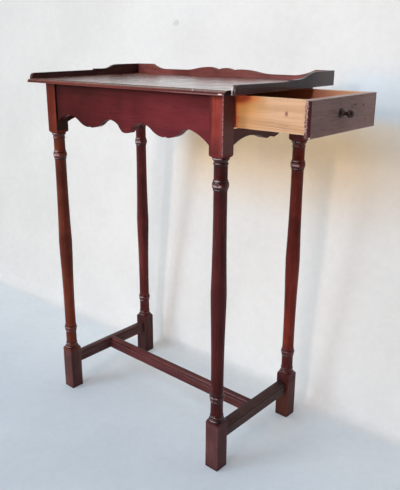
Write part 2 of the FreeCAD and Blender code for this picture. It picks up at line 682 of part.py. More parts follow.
def make_top():
    """The top, its own origin in the middle of its underside."""
    body = new_body("top_board", zero, zero, size.leg_length)
    front, back = -top_front, top_front - size.gallery_thick
    section = outline(body, "Section", "YZ_Plane", [
        (front, zero),
        (back, zero),
        (back, size.top_thick),
        (front + size.edge_wide, size.top_thick),
        (front + size.edge_wide, size.top_thick - size.edge_step),
        (front, size.edge_lip, size.edge_swell),
    ], -gallery_outside)
    pad(body, section, gallery_outside + top_end)
    spare = size.gallery_thick
    notch = rectangle(body, "GalleryNotch", "XY_Plane", -gallery_outside - spare, -top_end,
                      front + size.left_gallery_setback, back + spare)
    pocket(body, notch, size.top_thick, backwards=True)
    end_places = [(y, nail_height) for y in end_nails]
    for name, offset in (("LeftNails", -top_end), ("RightNails", top_end)):
        holes = circles(body, name, "YZ_Plane", end_places, nail_hole, offset)
        pocket(body, holes, nail_bite + size.nail_gap, backwards=offset.value < 0)
    back_places = [(x, nail_height) for x in back_nails]
    holes = circles(body, "BackNails", "XZ_Plane", back_places, nail_hole, -back)
    pocket(body, holes, nail_bite + size.nail_gap, backwards=True)
    return body


make_top()


# Gallery: shaped boards planted against the ends and the back of the top

def make_end_gallery(label, x, front, nose, low, high, dip_end, ogee_end):
    """An end gallery: low with a rounded nose at the front, a small step, then an ogee up to the back."""
    body = new_body(label, x, zero, size.leg_length)
    back = top_front
    dip = low + size.nib_rise - size.dip_drop
    rise = size.ogee_swell
    board = outline(body, "Board", "YZ_Plane", [
        (front, zero),
        (back, zero),
        (back, high),
        (ogee_end, high),
        ((dip_end + ogee_end) / 2, (dip + high) / 2, rise),
        (dip_end, dip, -rise),
        (size.nib_y, low + size.nib_rise, -size.dip_drop / 2),
        (size.nib_y, low),
        (front + size.gallery_nose, nose),
        (front, nose - size.gallery_nose, size.gallery_nose * quarter_rise),
    ])
    pad(body, board, size.gallery_thick, both_ways=True)
    holes = circles(body, "Nails", "YZ_Plane", [(y, nail_height) for y in end_nails], nail_hole)
    pocket(body, holes, size.gallery_thick, both_ways=True)
    return body


def make_back_gallery():
    """The back gallery: high corners, hollow drops, and a low crest with two shoulders and a hump."""
    body = new_body("gallery_back", zero, top_front - size.gallery_thick / 2, size.leg_length)
    left_high, right_high = size.left_gallery_high, size.right_gallery_high
    left_low, right_low = size.left_back_low, size.right_back_low
    left_crest, right_crest = size.left_crest_high, size.right_crest_high
    crest, turn = size.crest_half, (size.crest_half + size.crest_lobe_x) / 2
    left_drop, right_drop = size.left_corner_length - top_end, top_end - size.right_corner_length
    right_side = [
        (right_drop, right_high),
        (right_drop - size.right_drop_length, right_low, -size.back_hollow),
        (size.crest_x + crest, right_low),
        (size.crest_x + turn, (right_crest + right_low) / 2, -size.crest_swell),
        (size.crest_x + size.crest_lobe_x, right_crest, size.crest_swell),
        (size.crest_x + size.crest_notch_x, size.crest_notch, size.crest_swell),
    ]
    left_side = [
        (size.crest_x - size.crest_notch_x, size.crest_notch, size.crest_hump - size.crest_notch),
        (size.crest_x - size.crest_lobe_x, left_crest, size.crest_swell),
        (size.crest_x - turn, (left_crest + left_low) / 2, size.crest_swell),
        (size.crest_x - crest, left_low, -size.crest_swell),
        (left_drop + size.left_drop_length, left_low),
        (left_drop, left_high, -size.back_hollow),
    ]
    ends = [(-top_end, left_high), (-top_end, zero), (top_end, zero), (top_end, right_high)]
    board = outline(body, "Board", "XZ_Plane", right_side + left_side + ends)
    pad(body, board, size.gallery_thick, both_ways=True)
    holes = circles(body, "Nails", "XZ_Plane", [(x, nail_height) for x in back_nails], nail_hole)
    pocket(body, holes, size.gallery_thick, both_ways=True)
    return body


left_dip_end = size.nib_y + size.left_dip_length
right_dip_end = size.nib_y + size.right_dip_length
make_end_gallery("gallery_left", -gallery_middle, size.left_gallery_setback - top_front,
                 size.left_gallery_front, size.left_gallery_low, size.left_gallery_high,
                 left_dip_end, left_dip_end + size.left_ogee_length)
make_end_gallery("gallery_right", gallery_middle, size.right_gallery_setback - top_front,
                 size.right_gallery_front, size.right_gallery_low, size.right_gallery_high,
                 right_dip_end, right_dip_end + size.right_ogee_length)
make_back_gallery()


def group(label, pieces):
    """Like pieces that share one node."""
    together = doc.addObject("Part::Compound", label)
    together.Label = label
    together.Links = pieces
    return together


def nail(name, x, y, z, length, axis, turn):
    """A round nail with its head at x, y, z, turned about an axis to point into the wood."""
    shank = doc.addObject("Part::Cylinder", name)
    shank.Label = name
    shank.setExpression("Radius", size.nail_radius.text)
    shank.setExpression("Height", length.text)
    shank.Placement.Rotation = Rotation(axis, turn)
    place_at(shank, x, y, z)
    return shank


left_face, right_face = -gallery_outside, gallery_outside
nail_z = size.leg_length + nail_height
nails = [nail(f"LeftNail{index}", left_face, y, nail_z, size.nail_length, Vector(0, 1, 0), 90)
         for index, y in enumerate(end_nails)]
nails += [nail(f"RightNail{index}", right_face, y, nail_z, size.nail_length, Vector(0, 1, 0), -90)
          for index, y in enumerate(end_nails)]
nails += [nail(f"BackNail{index}", x, top_front, nail_z, size.nail_length, Vector(1, 0, 0), 90)
          for index, x in enumerate(back_nails)]
group("gallery_nails", nails)


# Drawer: rebated mahogany front nailed to pine sides, a dovetailed back, and a bottom held in grooves

def tail(root_x, end_x, middle, gap=0.0):
    """Corners of one dovetail, from its narrow root to its wide end."""
    wide = size.tail_wide / 2 + gap
    narrow = wide - size.tail_taper
    return [
        (root_x, middle - narrow),
        (end_x, middle - wide),
        (end_x, middle + wide),
        (root_x, middle + narrow),
    ]


floor_top = size.bottom_rise + size.bottom_thick + size.groove_gap * 2
back_top = size.drawer_side_height - size.drawer_back_drop
back_tails = [(floor_top + back_top) / 2 + size.tail_pitch * step for step in (-0.5, 0.5)]
rebate = size.drawer_front_thick - size.lap
side_length = drawer_length - size.lap
floor_low = size.bottom_rise + size.groove_gap
floor_nails = [size.floor_nail_pitch * step for step in (-1, 0, 1)]
floor_nail_bite = size.floor_nail_length - size.bottom_thick
side_face = drawer_half - size.lap_reach
side_y_place = side_face - size.drawer_side_thick / 2
inside_half = side_face - size.drawer_side_thick
front_nails = [size.front_nail_low, size.front_nail_low + size.front_nail_pitch]
front_nail_bite = size.front_nail_length - size.drawer_side_thick


def groove(body, name, role, low_edge, left, right, offset, backwards):
    """The groove for the drawer bottom, cut into one face of a board."""
    strip = rectangle(body, name, role, left, right, low_edge,
                      low_edge + size.bottom_thick + size.groove_gap * 2, offset)
    return pocket(body, strip, size.groove_depth, backwards=backwards)


def make_drawer_side(label, side):
    """A drawer side, its own origin at its lower front corner behind the drawer front's lap."""
    body = new_body(label, drawer_face_x - size.lap, side_y_place * side, side_low)
    back_root = size.drawer_back_thick - side_length
    points = [(-side_length, zero), (zero, zero), (zero, size.drawer_side_height),
              (-side_length, size.drawer_side_height), (-side_length, back_top), (back_root, back_top)]
    for middle in reversed(back_tails):
        points += reversed(tail(back_root, -side_length, middle))
    points += [(back_root, floor_top), (-side_length, floor_top)]
    pad(body, outline(body, "Board", "XZ_Plane", points), size.drawer_side_thick, both_ways=True)
    groove(body, "BottomGroove", "XZ_Plane", size.bottom_rise, -side_length, zero,
           size.drawer_side_thick / 2 * side, side < 0)
    holes = circles(body, "Nails", "XZ_Plane", [(-rebate / 2, z) for z in front_nails], nail_hole)
    pocket(body, holes, size.drawer_side_thick, both_ways=True)
    return body


def make_drawer_front():
    """The drawer front, its own origin at the lower edge of its outer face."""
    body = new_body("drawer_front", drawer_face_x, zero, drawer_low)
    board = rectangle(body, "Board", "YZ_Plane", -drawer_half, drawer_half, zero, size.drawer_front_height)
    pad(body, board, size.drawer_front_thick, backwards=True)
    lift = side_low - drawer_low
    ends = (("Front", -1, -drawer_half, -inside_half), ("Back", 1, inside_half, drawer_half))
    for name, side, left, right in ends:
        step = rectangle(body, f"{name}Rebate", "YZ_Plane", left, right, zero, size.drawer_front_height,
                         -size.drawer_front_thick)
        pocket(body, step, rebate, backwards=True)
        places = [(-size.lap - rebate / 2, lift + z) for z in front_nails]
        holes = circles(body, f"{name}Nails", "XZ_Plane", places, nail_hole, inside_half * -side)
        pocket(body, holes, front_nail_bite + size.nail_gap, backwards=side > 0)
    groove(body, "BottomGroove", "YZ_Plane", lift + size.bottom_rise, -inside_half, inside_half,
           -size.drawer_front_thick, True)
    hole = circles(body, "KnobHole", "YZ_Plane", [(-size.knob_off_y, size.knob_height)],
                   size.knob_spigot_radius + size.dovetail_gap)
    pocket(body, hole, size.drawer_front_thick)
    return body


def make_drawer_back():
    """The drawer back, which stands on the drawer bottom; the dovetails of the sides fit its sockets."""
    body = new_body("drawer_back", drawer_face_x - drawer_length, zero, side_low)
    board = rectangle(body, "Board", "YZ_Plane", -side_face, side_face, floor_top, back_top)
    pad(body, board, size.drawer_back_thick)
    for end, side in (("Front", -1), ("Back", 1)):
        for index, middle in enumerate(back_tails):
            corners = tail(size.drawer_back_thick, zero, middle, size.dovetail_gap)
            socket = outline(body, f"{end}Socket{index}", "XZ_Plane", corners, side_face * -side)
            pocket(body, socket, size.drawer_side_thick, backwards=side > 0)
    places = [(size.drawer_back_thick / 2, -y) for y in floor_nails]
    holes = circles(body, "Nails", "XY_Plane", places, nail_hole, floor_top)
    pocket(body, holes, floor_nail_bite, backwards=True)
    return body


def make_drawer_bottom():
    """The drawer bottom, slid into the grooves from the back."""
    body = new_body("drawer_bottom", drawer_face_x - drawer_length, zero, side_low + floor_low)
    half = inside_half + size.groove_depth - size.groove_gap
    deep = drawer_length - size.drawer_front_thick + size.groove_depth - size.groove_gap
    pad(body, rectangle(body, "Board", "XY_Plane", zero, deep, -half, half), size.bottom_thick)
    places = [(size.drawer_back_thick / 2, y) for y in floor_nails]
    pocket(body, circles(body, "Nails", "XY_Plane", places, nail_hole), size.bottom_thick, backwards=True)
    return body


def make_knob():
    """The turned knob: base flange, neck, rounded head and a spigot through the drawer front."""
    body = new_body("drawer_knob", drawer_face_x, -size.knob_off_y, drawer_low + size.knob_height)
    spigot_end = -size.drawer_front_thick
    tip = size.knob_length
    profile = outline(body, "Profile", "XZ_Plane", [
        (spigot_end, zero),
        (tip, zero),
        (tip - size.knob_head_front, size.knob_head_radius, size.knob_front_swell),
        (tip - size.knob_head_length, size.knob_neck_radius, size.knob_rear_swell),
        (size.knob_neck_start, size.knob_neck_radius, -size.knob_flare_hollow),
        (size.knob_base_thick, size.knob_flare_radius, -size.knob_flare_hollow),
        (size.knob_base_round, size.knob_base_radius, size.knob_flare_hollow),
        (zero, size.knob_base_radius),
        (zero, size.knob_spigot_radius),
        (spigot_end, size.knob_spigot_radius),
    ])
    revolve(body, profile, "X_Axis")
    return body


make_drawer_front()
make_drawer_side("drawer_side_front", -1)
make_drawer_side("drawer_side_back", 1)
make_drawer_back()
make_drawer_bottom()
make_knob()

floor_nail_x = drawer_face_x - drawer_length + size.drawer_back_thick / 2
drawer_nails = [
    nail(f"FloorNail{index}", floor_nail_x, y, side_low + floor_low, size.floor_nail_length, Vector(0, 0, 1), 0)
    for index, y in enumerate(floor_nails)
]
front_nail_x = drawer_face_x - size.lap - rebate / 2
for end, side in (("Front", -1), ("Back", 1)):
    drawer_nails += [
        nail(f"{end}SideNail{index}", front_nail_x, side_face * side, side_low + z,
             size.front_nail_length, Vector(1, 0, 0), 90 * side)
        for index, z in enumerate(front_nails)
    ]
group("drawer_nails", drawer_nails)


# What carries the drawer: runners, guides and stops, and the glue blocks under the top

apron_face_y = size.legs_deep / 2 - apron_in
leg_face_y = between_y / 2
runner_low = rail_top - size.runner_lap
runner_inside = inside_half - size.runner_inset


def make_runner(label, side):
    """A runner: notched round the leg blocks, with a tongue let into the drawer rail."""
    body = new_body(label, zero, zero, runner_low)
    inner = runner_inside * side
    tip = apron_face_x + size.runner_tab
    block = between_x / 2
    plan = outline(body, "Plan", "XY_Plane", [
        (-apron_face_x, leg_face_y * side),
        (-block, leg_face_y * side),
        (-block, apron_face_y * side),
        (block, apron_face_y * side),
        (block, leg_face_y * side),
        (tip, leg_face_y * side),
        (tip, inner),
        (-apron_face_x, inner),
    ])
    pad(body, plan, runner_top - runner_low)
    step = rectangle(body, "RailStep", "XY_Plane", apron_face_x, tip, inner, leg_face_y * side,
                     runner_top - runner_low)
    pocket(body, step, runner_top - rail_top)
    return body


for face, side in (("Front", -1), ("Back", 1)):
    housing = rectangle(drawer_rail, f"{face}Housing", "XY_Plane", -size.apron_thick / 2,
                        size.runner_tab - size.apron_thick / 2, runner_inside * side, leg_face_y * side,
                        rail_top - size.leg_length)
    pocket(drawer_rail, housing, size.runner_lap)


def block(name, x, y, z, long, deep, tall):
    """A plain block with its lowest corner at x, y, z."""
    box = doc.addObject("Part::Box", name)
    box.Label = name
    for side, length in (("Length", long), ("Width", deep), ("Height", tall)):
        box.setExpression(side, length.text)
    place_at(box, x, y, z)
    return box


guide_face = side_face + size.guide_gap
for face, side in (("front", -1), ("back", 1)):
    make_runner(f"runner_{face}", side)
    near = -apron_face_y if side < 0 else guide_face
    block(f"guide_{face}", -between_x / 2, near, runner_top, between_x, apron_face_y - guide_face,
          size.guide_height)

group("drawer_stops", [
    block(f"StopBlock{index}", -apron_face_x, y, runner_top, size.stop_length, size.drawer_side_thick,
          size.stop_height)
    for index, y in enumerate((-side_face, inside_half))
])

glue_blocks = []
for side_x in (-1, 1):
    for side_y in (-1, 1):
        left = size.glue_block_x * side_x - size.glue_block_length / 2
        near = -apron_face_y if side_y < 0 else apron_face_y - size.glue_block_side
        glue_blocks.append(block(f"GlueBlock{len(glue_blocks)}", left, near,
                                 size.leg_length - size.glue_block_side,
                                 size.glue_block_length, size.glue_block_side, size.glue_block_side))
group("glue_blocks", glue_blocks)


# Check every object, then write each sub-part

doc.recompute()
for item in doc.Objects:
    if "Invalid" in item.State or "Error" in item.State:
        raise RuntimeError(f"{item.Name} failed: {item.State}")

grouped = [link for item in doc.Objects if item.TypeId == "Part::Compound" for link in item.Links]
sub_parts = [item for item in doc.Objects
             if item.TypeId in ("PartDesign::Body", "Part::Box", "Part::Compound") and item not in grouped]
os.makedirs("parts", exist_ok=True)
for sub_part in sub_parts:
    if sub_part.Shape.isNull() or not sub_part.Shape.isValid():
        raise RuntimeError(f"{sub_part.Label} has no valid shape")
for sub_part in sub_parts:
    sub_part.Shape.exportStep(f"parts/{sub_part.Label}.step")
print(len(sub_parts), "sub-parts written")
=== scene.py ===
"""A small mahogany tavern table with its end drawer pulled part of the way out, finished for rendering."""
import math
from functools import partial

import bmesh
import bpy
from mathutils import Matrix, Vector


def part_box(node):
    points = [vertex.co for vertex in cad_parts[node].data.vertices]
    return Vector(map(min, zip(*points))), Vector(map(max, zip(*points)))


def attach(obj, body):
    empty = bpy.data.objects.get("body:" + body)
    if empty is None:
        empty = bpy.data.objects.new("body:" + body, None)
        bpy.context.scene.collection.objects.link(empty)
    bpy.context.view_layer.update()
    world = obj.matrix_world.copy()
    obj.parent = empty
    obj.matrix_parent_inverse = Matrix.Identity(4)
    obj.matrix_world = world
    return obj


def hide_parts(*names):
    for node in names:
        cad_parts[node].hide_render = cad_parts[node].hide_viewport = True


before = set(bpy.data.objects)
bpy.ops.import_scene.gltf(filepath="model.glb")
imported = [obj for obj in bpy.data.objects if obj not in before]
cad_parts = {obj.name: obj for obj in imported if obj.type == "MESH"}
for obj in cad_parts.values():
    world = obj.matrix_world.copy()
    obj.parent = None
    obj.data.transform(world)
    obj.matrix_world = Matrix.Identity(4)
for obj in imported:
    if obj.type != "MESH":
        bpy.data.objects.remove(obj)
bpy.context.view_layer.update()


# The camera stands to the right of the front edge, a little above the top, and looks down across the table.
# Its turn, tilt and roll are in degrees, and its shifts are shares of the picture's width.
camera_place = Vector((0.77715, -0.8978, 0.7815))
camera_turn, camera_tilt, camera_roll = 42.519, -17.391, -0.159
camera = bpy.data.objects.new("camera", bpy.data.cameras.new("camera"))
bpy.context.scene.collection.objects.link(camera)
camera.data.sensor_fit = "HORIZONTAL"
camera.data.sensor_width = 36.0
camera.data.lens = 55.16
camera.data.shift_x = 0.0472
camera.data.shift_y = -0.0295
camera.data.clip_start = 0.02
camera.matrix_world = (
    Matrix.Translation(camera_place)
    @ Matrix.Rotation(math.radians(camera_turn), 4, "Z")
    @ Matrix.Rotation(math.radians(90 + camera_tilt), 4, "X")
    @ Matrix.Rotation(math.radians(camera_roll), 4, "Z")
)
bpy.context.scene.camera = camera


# The room: a pale blue-grey floor that turns up into an off-white wall behind the table.
# The wall is plain painted plaster, and one soft rounded corner joins it to the floor.
wall_left, wall_right = Vector((-1.025, 0.138, 0.0)), Vector((0.380, 0.2015, 0.0))
wall_lean, wall_height, past_ends, floor_depth, corner_radius = 7.0, 2.6, 2.5, 5.0, 0.025
along_wall = (wall_right - wall_left).normalized()
out_of_wall = Vector((along_wall.y, -along_wall.x, 0.0))
up_wall = Vector((0.0, 0.0, 1.0)) - out_of_wall * math.tan(math.radians(wall_lean))
room_mesh = bpy.data.meshes.new("room")
bm = bmesh.new()
foot = [bm.verts.new(wall_left - along_wall * past_ends), bm.verts.new(wall_right + along_wall * past_ends)]
seam = bm.edges.new(foot)
for way in (up_wall * wall_height, out_of_wall * floor_depth):
    made = bmesh.ops.extrude_edge_only(bm, edges=[seam])["geom"]
    bmesh.ops.translate(bm, vec=way, verts=[vert for vert in made if isinstance(vert, bmesh.types.BMVert)])
bmesh.ops.bevel(bm, geom=[seam], offset=corner_radius, offset_type="OFFSET", affect="EDGES", segments=10,
                profile=0.5, material=-1)
bmesh.ops.recalc_face_normals(bm, faces=bm.faces)
bmesh.ops.reverse_faces(bm, faces=bm.faces)
for face in bm.faces:
    face.smooth = True
bm.to_mesh(room_mesh)
bm.free()
room = bpy.data.objects.new("room", room_mesh)
bpy.context.scene.collection.objects.link(room)


def feed(tree, node, inputs):
    """Give each named input of a node a value, or link another node's output to it."""
    for key, value in inputs.items():
        if isinstance(value, bpy.types.NodeSocket):
            tree.links.new(value, node.inputs[key])
        else:
            node.inputs[key].default_value = value


def wire(tree, kind, inputs=None, **settings):
    """Add a node with its settings and its inputs."""
    node = tree.nodes.new(kind)
    for name, value in settings.items():
        setattr(node, name, value)
    feed(tree, node, inputs or {})
    return node


def reckon(tree, operation, first, second=0.0, third=0.0, clamp=False):
    """One step of arithmetic on numbers."""
    return wire(tree, "ShaderNodeMath", {0: first, 1: second, 2: third}, operation=operation,
                use_clamp=clamp).outputs[0]


def reckon_places(tree, operation, first, second=(0.0, 0.0, 0.0)):
    """One step of arithmetic on places, each axis by itself."""
    return wire(tree, "ShaderNodeVectorMath", {0: first, 1: second}, operation=operation).outputs[0]


def axes(tree, place):
    """The three coordinates of a place or a direction."""
    return wire(tree, "ShaderNodeSeparateXYZ", {0: place}).outputs


def times(tree, *masks):
    """The product of several masks."""
    product = masks[0]
    for mask in masks[1:]:
        product = reckon(tree, "MULTIPLY", product, mask)
    return product


def ramp(tree, value, low, high, start=0.0, end=1.0, way="LINEAR"):
    """A run from start to end, straight unless told otherwise, while the value runs from low to high."""
    run = {"Value": value, "From Min": low, "From Max": high, "To Min": start, "To Max": end}
    return wire(tree, "ShaderNodeMapRange", run, interpolation_type=way).outputs[0]


def spread(tree, value, low, high, start=0.0, end=1.0):
    """A soft step from start to end while the value runs from low to high."""
    return ramp(tree, value, low, high, start, end, "SMOOTHSTEP")


def blend(tree, amount, first, second, mode="MIX"):
    """One colour laid over another by an amount."""
    return wire(tree, "ShaderNodeMix", {0: amount, 6: first, 7: second}, data_type="RGBA",
                blend_type=mode).outputs[2]


def noise(tree, place, cycles, detail=3.0, rough=0.55, twist=0.0):
    """Noise of so many cycles per metre: one number for every way, or three that draw it out along an axis."""
    cycles = cycles if isinstance(cycles, tuple) else (cycles, cycles, cycles)
    drawn = reckon_places(tree, "MULTIPLY", place, cycles)
    sizes = {"Scale": 1.0, "Detail": detail, "Roughness": rough, "Distortion": twist}
    return wire(tree, "ShaderNodeTexNoise", {"Vector": drawn, **sizes}).outputs["Fac"]


def new_finish(name):
    """A new material, its node tree, its shader and the place on the piece in metres."""
    finish = bpy.data.materials.new(name)
    finish.use_nodes = True
    tree = finish.node_tree
    return finish, tree, tree.nodes["Principled BSDF"], wire(tree, "ShaderNodeTexCoord").outputs["Object"]


paint, tree, shader, place = new_finish("room paint")
across, back, up = axes(tree, place)
wall_slope = along_wall.y / along_wall.x
wall_line = reckon(tree, "MULTIPLY_ADD", across, wall_slope, wall_right.y - wall_right.x * wall_slope)
off_wall = reckon(tree, "SUBTRACT", wall_line, back)
near_wall = spread(tree, off_wall, 0.055, -0.030)
# clouds in the paint, fine trowel marks, and a few scuffs and specks of dirt
cloudy = spread(tree, noise(tree, place, 5.0, 4.0, 0.5), 0.3, 0.7, 0.97, 1.03)
trowelled = spread(tree, noise(tree, place, 55.0, 5.0, 0.7, 0.6), 0.25, 0.75, 0.972, 1.022)
scuffed = spread(tree, noise(tree, place, 21.0, 3.0, 0.6), 0.735, 0.775, 1.0, 0.84)
# behind the table the plaster is painted yellow as warm shade, and blue-grey as cool shade in a band to the
# right of it
plaster = blend(tree, spread(tree, across, -0.6, -0.1), (0.858, 0.827, 0.792, 1.0), (0.882, 0.866, 0.846, 1.0))
warm_shade_paint = times(tree, spread(tree, up, 0.36, 0.58), spread(tree, up, 0.57, 0.69, 1.0, 0.0),
                 spread(tree, across, -0.30, -0.19), spread(tree, across, 0.15, 0.31, 1.0, 0.5))
plaster = blend(tree, warm_shade_paint, plaster, (0.870, 0.655, 0.420, 1.0))
# a band of blue-grey painted shade to the right of the table
cool_shade_paint = times(tree, spread(tree, up, 0.61, 0.65), spread(tree, up, 0.68, 0.76, 1.0, 0.0),
               spread(tree, across, 0.10, 0.20))
plaster = blend(tree, cool_shade_paint, plaster, (0.760, 0.830, 0.890, 1.0))
# the floor is painted paler towards the wall, as painted light
floor = blend(tree, spread(tree, off_wall, 0.42, 0.06), (0.610, 0.675, 0.748, 1.0), (0.718, 0.762, 0.802, 1.0))
colour = blend(tree, near_wall, floor, plaster)
# the wall is painted a little darker at its two ends, as shade
end_shade = times(tree, spread(tree, across, -1.0, -0.2, 0.87, 1.0), spread(tree, across, 0.10, 0.34, 1.0, 0.95))
end_shade = ramp(tree, near_wall, 0.0, 1.0, 1.0, end_shade)
colour = blend(tree, 1.0, colour, times(tree, cloudy, trowelled, scuffed, end_shade), "MULTIPLY")
feed(tree, shader, {"Base Color": colour, "Roughness": 0.8, "Specular IOR Level": 0.1})
# a part of what is seen of the room is its own plain colour, so that shadows on it stay soft; behind the table
# a larger part glows, painted light in its shadows
light_path = wire(tree, "ShaderNodeLightPath").outputs
seen = reckon(tree, "MAXIMUM", light_path["Is Camera Ray"], light_path["Is Glossy Ray"])
seen = reckon(tree, "MAXIMUM", seen, light_path["Is Transmission Ray"])
plain_share = ramp(tree, near_wall, 0.0, 1.0, 0.22, spread(tree, across, -0.25, -0.10, 0.28, 0.42))
plain = wire(tree, "ShaderNodeEmission", {"Color": colour, "Strength": 1.0}).outputs[0]
lit = wire(tree, "ShaderNodeMixShader", {0: times(tree, seen, plain_share), 1: shader.outputs[0], 2: plain}
           ).outputs[0]
# the wall is not seen from behind
hidden = times(tree, light_path["Is Camera Ray"], wire(tree, "ShaderNodeNewGeometry").outputs["Backfacing"])
clear = wire(tree, "ShaderNodeBsdfTransparent").outputs[0]
mixed = wire(tree, "ShaderNodeMixShader", {0: hidden, 1: lit, 2: clear}).outputs[0]
feed(tree, tree.nodes["Material Output"], {"Surface": mixed})
room_mesh.materials.append(paint)


# Lighting: a wide soft light from the front left, and two smaller ones beside it, one cool and one warm.
# The world is a pale glow that fills the shadows, weakest on the right.
world = bpy.data.worlds.new("soft room light")
bpy.context.scene.world = world
world.use_nodes = True
tree = world.node_tree
across, ahead, _ = axes(tree, wire(tree, "ShaderNodeTexCoord").outputs["Generated"])
glow = times(tree, ramp(tree, across, -0.6, 0.4, 1.15, 0.10), ramp(tree, ahead, -0.9, 0.0, 0.55, 1.0))
tint = blend(tree, ramp(tree, across, -0.3, 0.4), (1.0, 0.86, 0.62, 1.0), (0.80, 0.85, 1.0, 1.0))
feed(tree, tree.nodes["Background"], {"Color": tint, "Strength": glow})


def hang_lamp(name, turn, rise, distance, width, power, tint):
    """A square lamp aimed at the table, turned to the left of the front and raised by so many degrees."""
    lamp = bpy.data.objects.new(name, bpy.data.lights.new(name, "AREA"))
    lamp.data.shape = "SQUARE"
    lamp.data.size = width
    lamp.data.energy = power
    lamp.data.color = tint
    aimed_at = Matrix.Translation((0.0, 0.0, 0.5))
    aim = Matrix.Rotation(math.radians(-turn), 4, "Z") @ Matrix.Rotation(math.radians(-rise), 4, "X")
    lamp.matrix_world = (aimed_at @ aim @ Matrix.Translation((0.0, -distance, 0.0))
                         @ Matrix.Rotation(math.radians(90), 4, "X"))
    bpy.context.scene.collection.objects.link(lamp)


hang_lamp("wide light", turn=22.0, rise=42.0, distance=5.5, width=4.6, power=132.0, tint=(0.50, 0.74, 1.0))
hang_lamp("cool window", turn=31.0, rise=18.0, distance=6.0, width=1.5, power=97.0, tint=(0.78, 0.90, 1.0))
hang_lamp("warm lamp", turn=-5.0, rise=16.0, distance=6.0, width=0.7, power=100.0, tint=(1.0, 0.84, 0.76))
bpy.context.scene.view_settings.view_transform = "Standard"


# Legs: four turned mahogany legs, square at the head and the foot, mortised for the aprons and stretchers.
# Blocks have rubbed arrises; beads are polished, with painted highlights, and hollows hold dirt and painted
# shade.
def new_group(name, takes, gives):
    """An empty node group; returns it with its incoming values and the node that gives out its results."""
    group = bpy.data.node_groups.new(name, "ShaderNodeTree")
    for way, sockets in (("INPUT", takes), ("OUTPUT", gives)):
        for label, kind in sockets.items():
            group.interface.new_socket(label, in_out=way, socket_type=f"NodeSocket{kind}")
    return group, group.nodes.new("NodeGroupInput").outputs, group.nodes.new("NodeGroupOutput")


def use(tree, group, inputs):
    """Place a node group in a material and give its outputs."""
    return wire(tree, "ShaderNodeGroup", inputs, node_tree=group).outputs


# grain along X: broad ribbons, fine dark lines and short pores
grain, take, give = new_group("wood grain",
                              {"Place": "Vector", "Light": "Color", "Dark": "Color", "Line": "Float"},
                              {"Color": "Color", "Pores": "Float"})
ribbon = noise(grain, take["Place"], (3.5, 26.0, 26.0), 3.0, 0.5, 0.4)
patches = noise(grain, take["Place"], 14.0, 2.0)
lines = noise(grain, take["Place"], (9.0, 210.0, 210.0), 4.0, 0.6, 0.3)
pores = spread(grain, noise(grain, take["Place"], (55.0, 1100.0, 1100.0), 2.0), 0.57, 0.68)
figure = reckon(grain, "ADD", times(grain, spread(grain, ribbon, 0.36, 0.64), 0.55),
                times(grain, spread(grain, patches, 0.35, 0.65), 0.45))
wood = blend(grain, figure, take["Dark"], take["Light"])
wood = blend(grain, times(grain, spread(grain, lines, 0.46, 0.66), take["Line"]), wood, take["Dark"])
wood = blend(grain, times(grain, pores, 0.35), wood, (0.02, 0.008, 0.006, 1.0))
feed(grain, give, {"Color": wood, "Pores": pores})

# nearness to the arrises of a box-shaped piece: 1 on the arris, 0 past the width
arris, take, give = new_group("rubbed arris",
                              {"Place": "Vector", "Middle": "Vector", "Half": "Vector", "Width": "Float",
                               "Ragged": "Float"}, {"Mask": "Float", "Nicks": "Float"})
from_middle = reckon_places(arris, "ABSOLUTE", reckon_places(arris, "SUBTRACT", take["Place"], take["Middle"]))
x, y, z = axes(arris, reckon_places(arris, "SUBTRACT", take["Half"], from_middle))
second_nearest = reckon(arris, "MAXIMUM", reckon(arris, "MINIMUM", x, y),
                        reckon(arris, "MINIMUM", reckon(arris, "MAXIMUM", x, y), z))
edge = reckon(arris, "DIVIDE", second_nearest, take["Width"])
uneven = reckon(arris, "SUBTRACT", noise(arris, take["Place"], 60.0, 3.0, 0.7), 0.5)
ragged = times(arris, uneven, take["Ragged"])
mask = spread(arris, reckon(arris, "ADD", edge, ragged), 0.0, 1.0, 1.0, 0.0)
nicked = spread(arris, noise(arris, take["Place"], 330.0, 3.0, 0.7), 0.50, 0.60)
narrow = spread(arris, reckon(arris, "ADD", edge, times(arris, ragged, 1.4)), 0.15, 0.7, 1.0, 0.0)
feed(arris, give, {"Mask": mask, "Nicks": times(arris, nicked, narrow)})

# smears of wax and handling, and fine scratches along the grain
handled, take, give = new_group("handling", {"Place": "Vector"},
                                {"Smear": "Float", "Scratch": "Float", "Dent": "Float"})
smear = spread(handled, noise(handled, take["Place"], 22.0, 4.0, 0.65), 0.38, 0.66)
scratch = spread(handled, noise(handled, take["Place"], (14.0, 420.0, 420.0), 2.0, 0.5, 0.6), 0.66, 0.74)
dent = noise(handled, take["Place"], (30.0, 45.0, 45.0), 3.0, 0.6)
feed(handled, give, {"Smear": smear, "Scratch": scratch, "Dent": dent})


def along_grain(tree, place, turn):
    """The place turned so that its X runs along the piece's grain."""
    angles = [math.radians(angle) for angle in turn]
    return wire(tree, "ShaderNodeMapping", {"Vector": place, "Rotation": angles}).outputs[0]


def middle_and_half(piece):
    """The middle of a piece's box and half its size."""
    low, high = (Vector(corner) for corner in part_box(piece))
    return (low + high) / 2, (high - low) / 2


def arrises(tree, place, piece, width):
    """The rubbed band and the nicks along the arrises of one piece."""
    middle, half = middle_and_half(piece)
    return use(tree, arris, {"Place": place, "Middle": middle, "Half": half, "Width": width, "Ragged": 0.9})


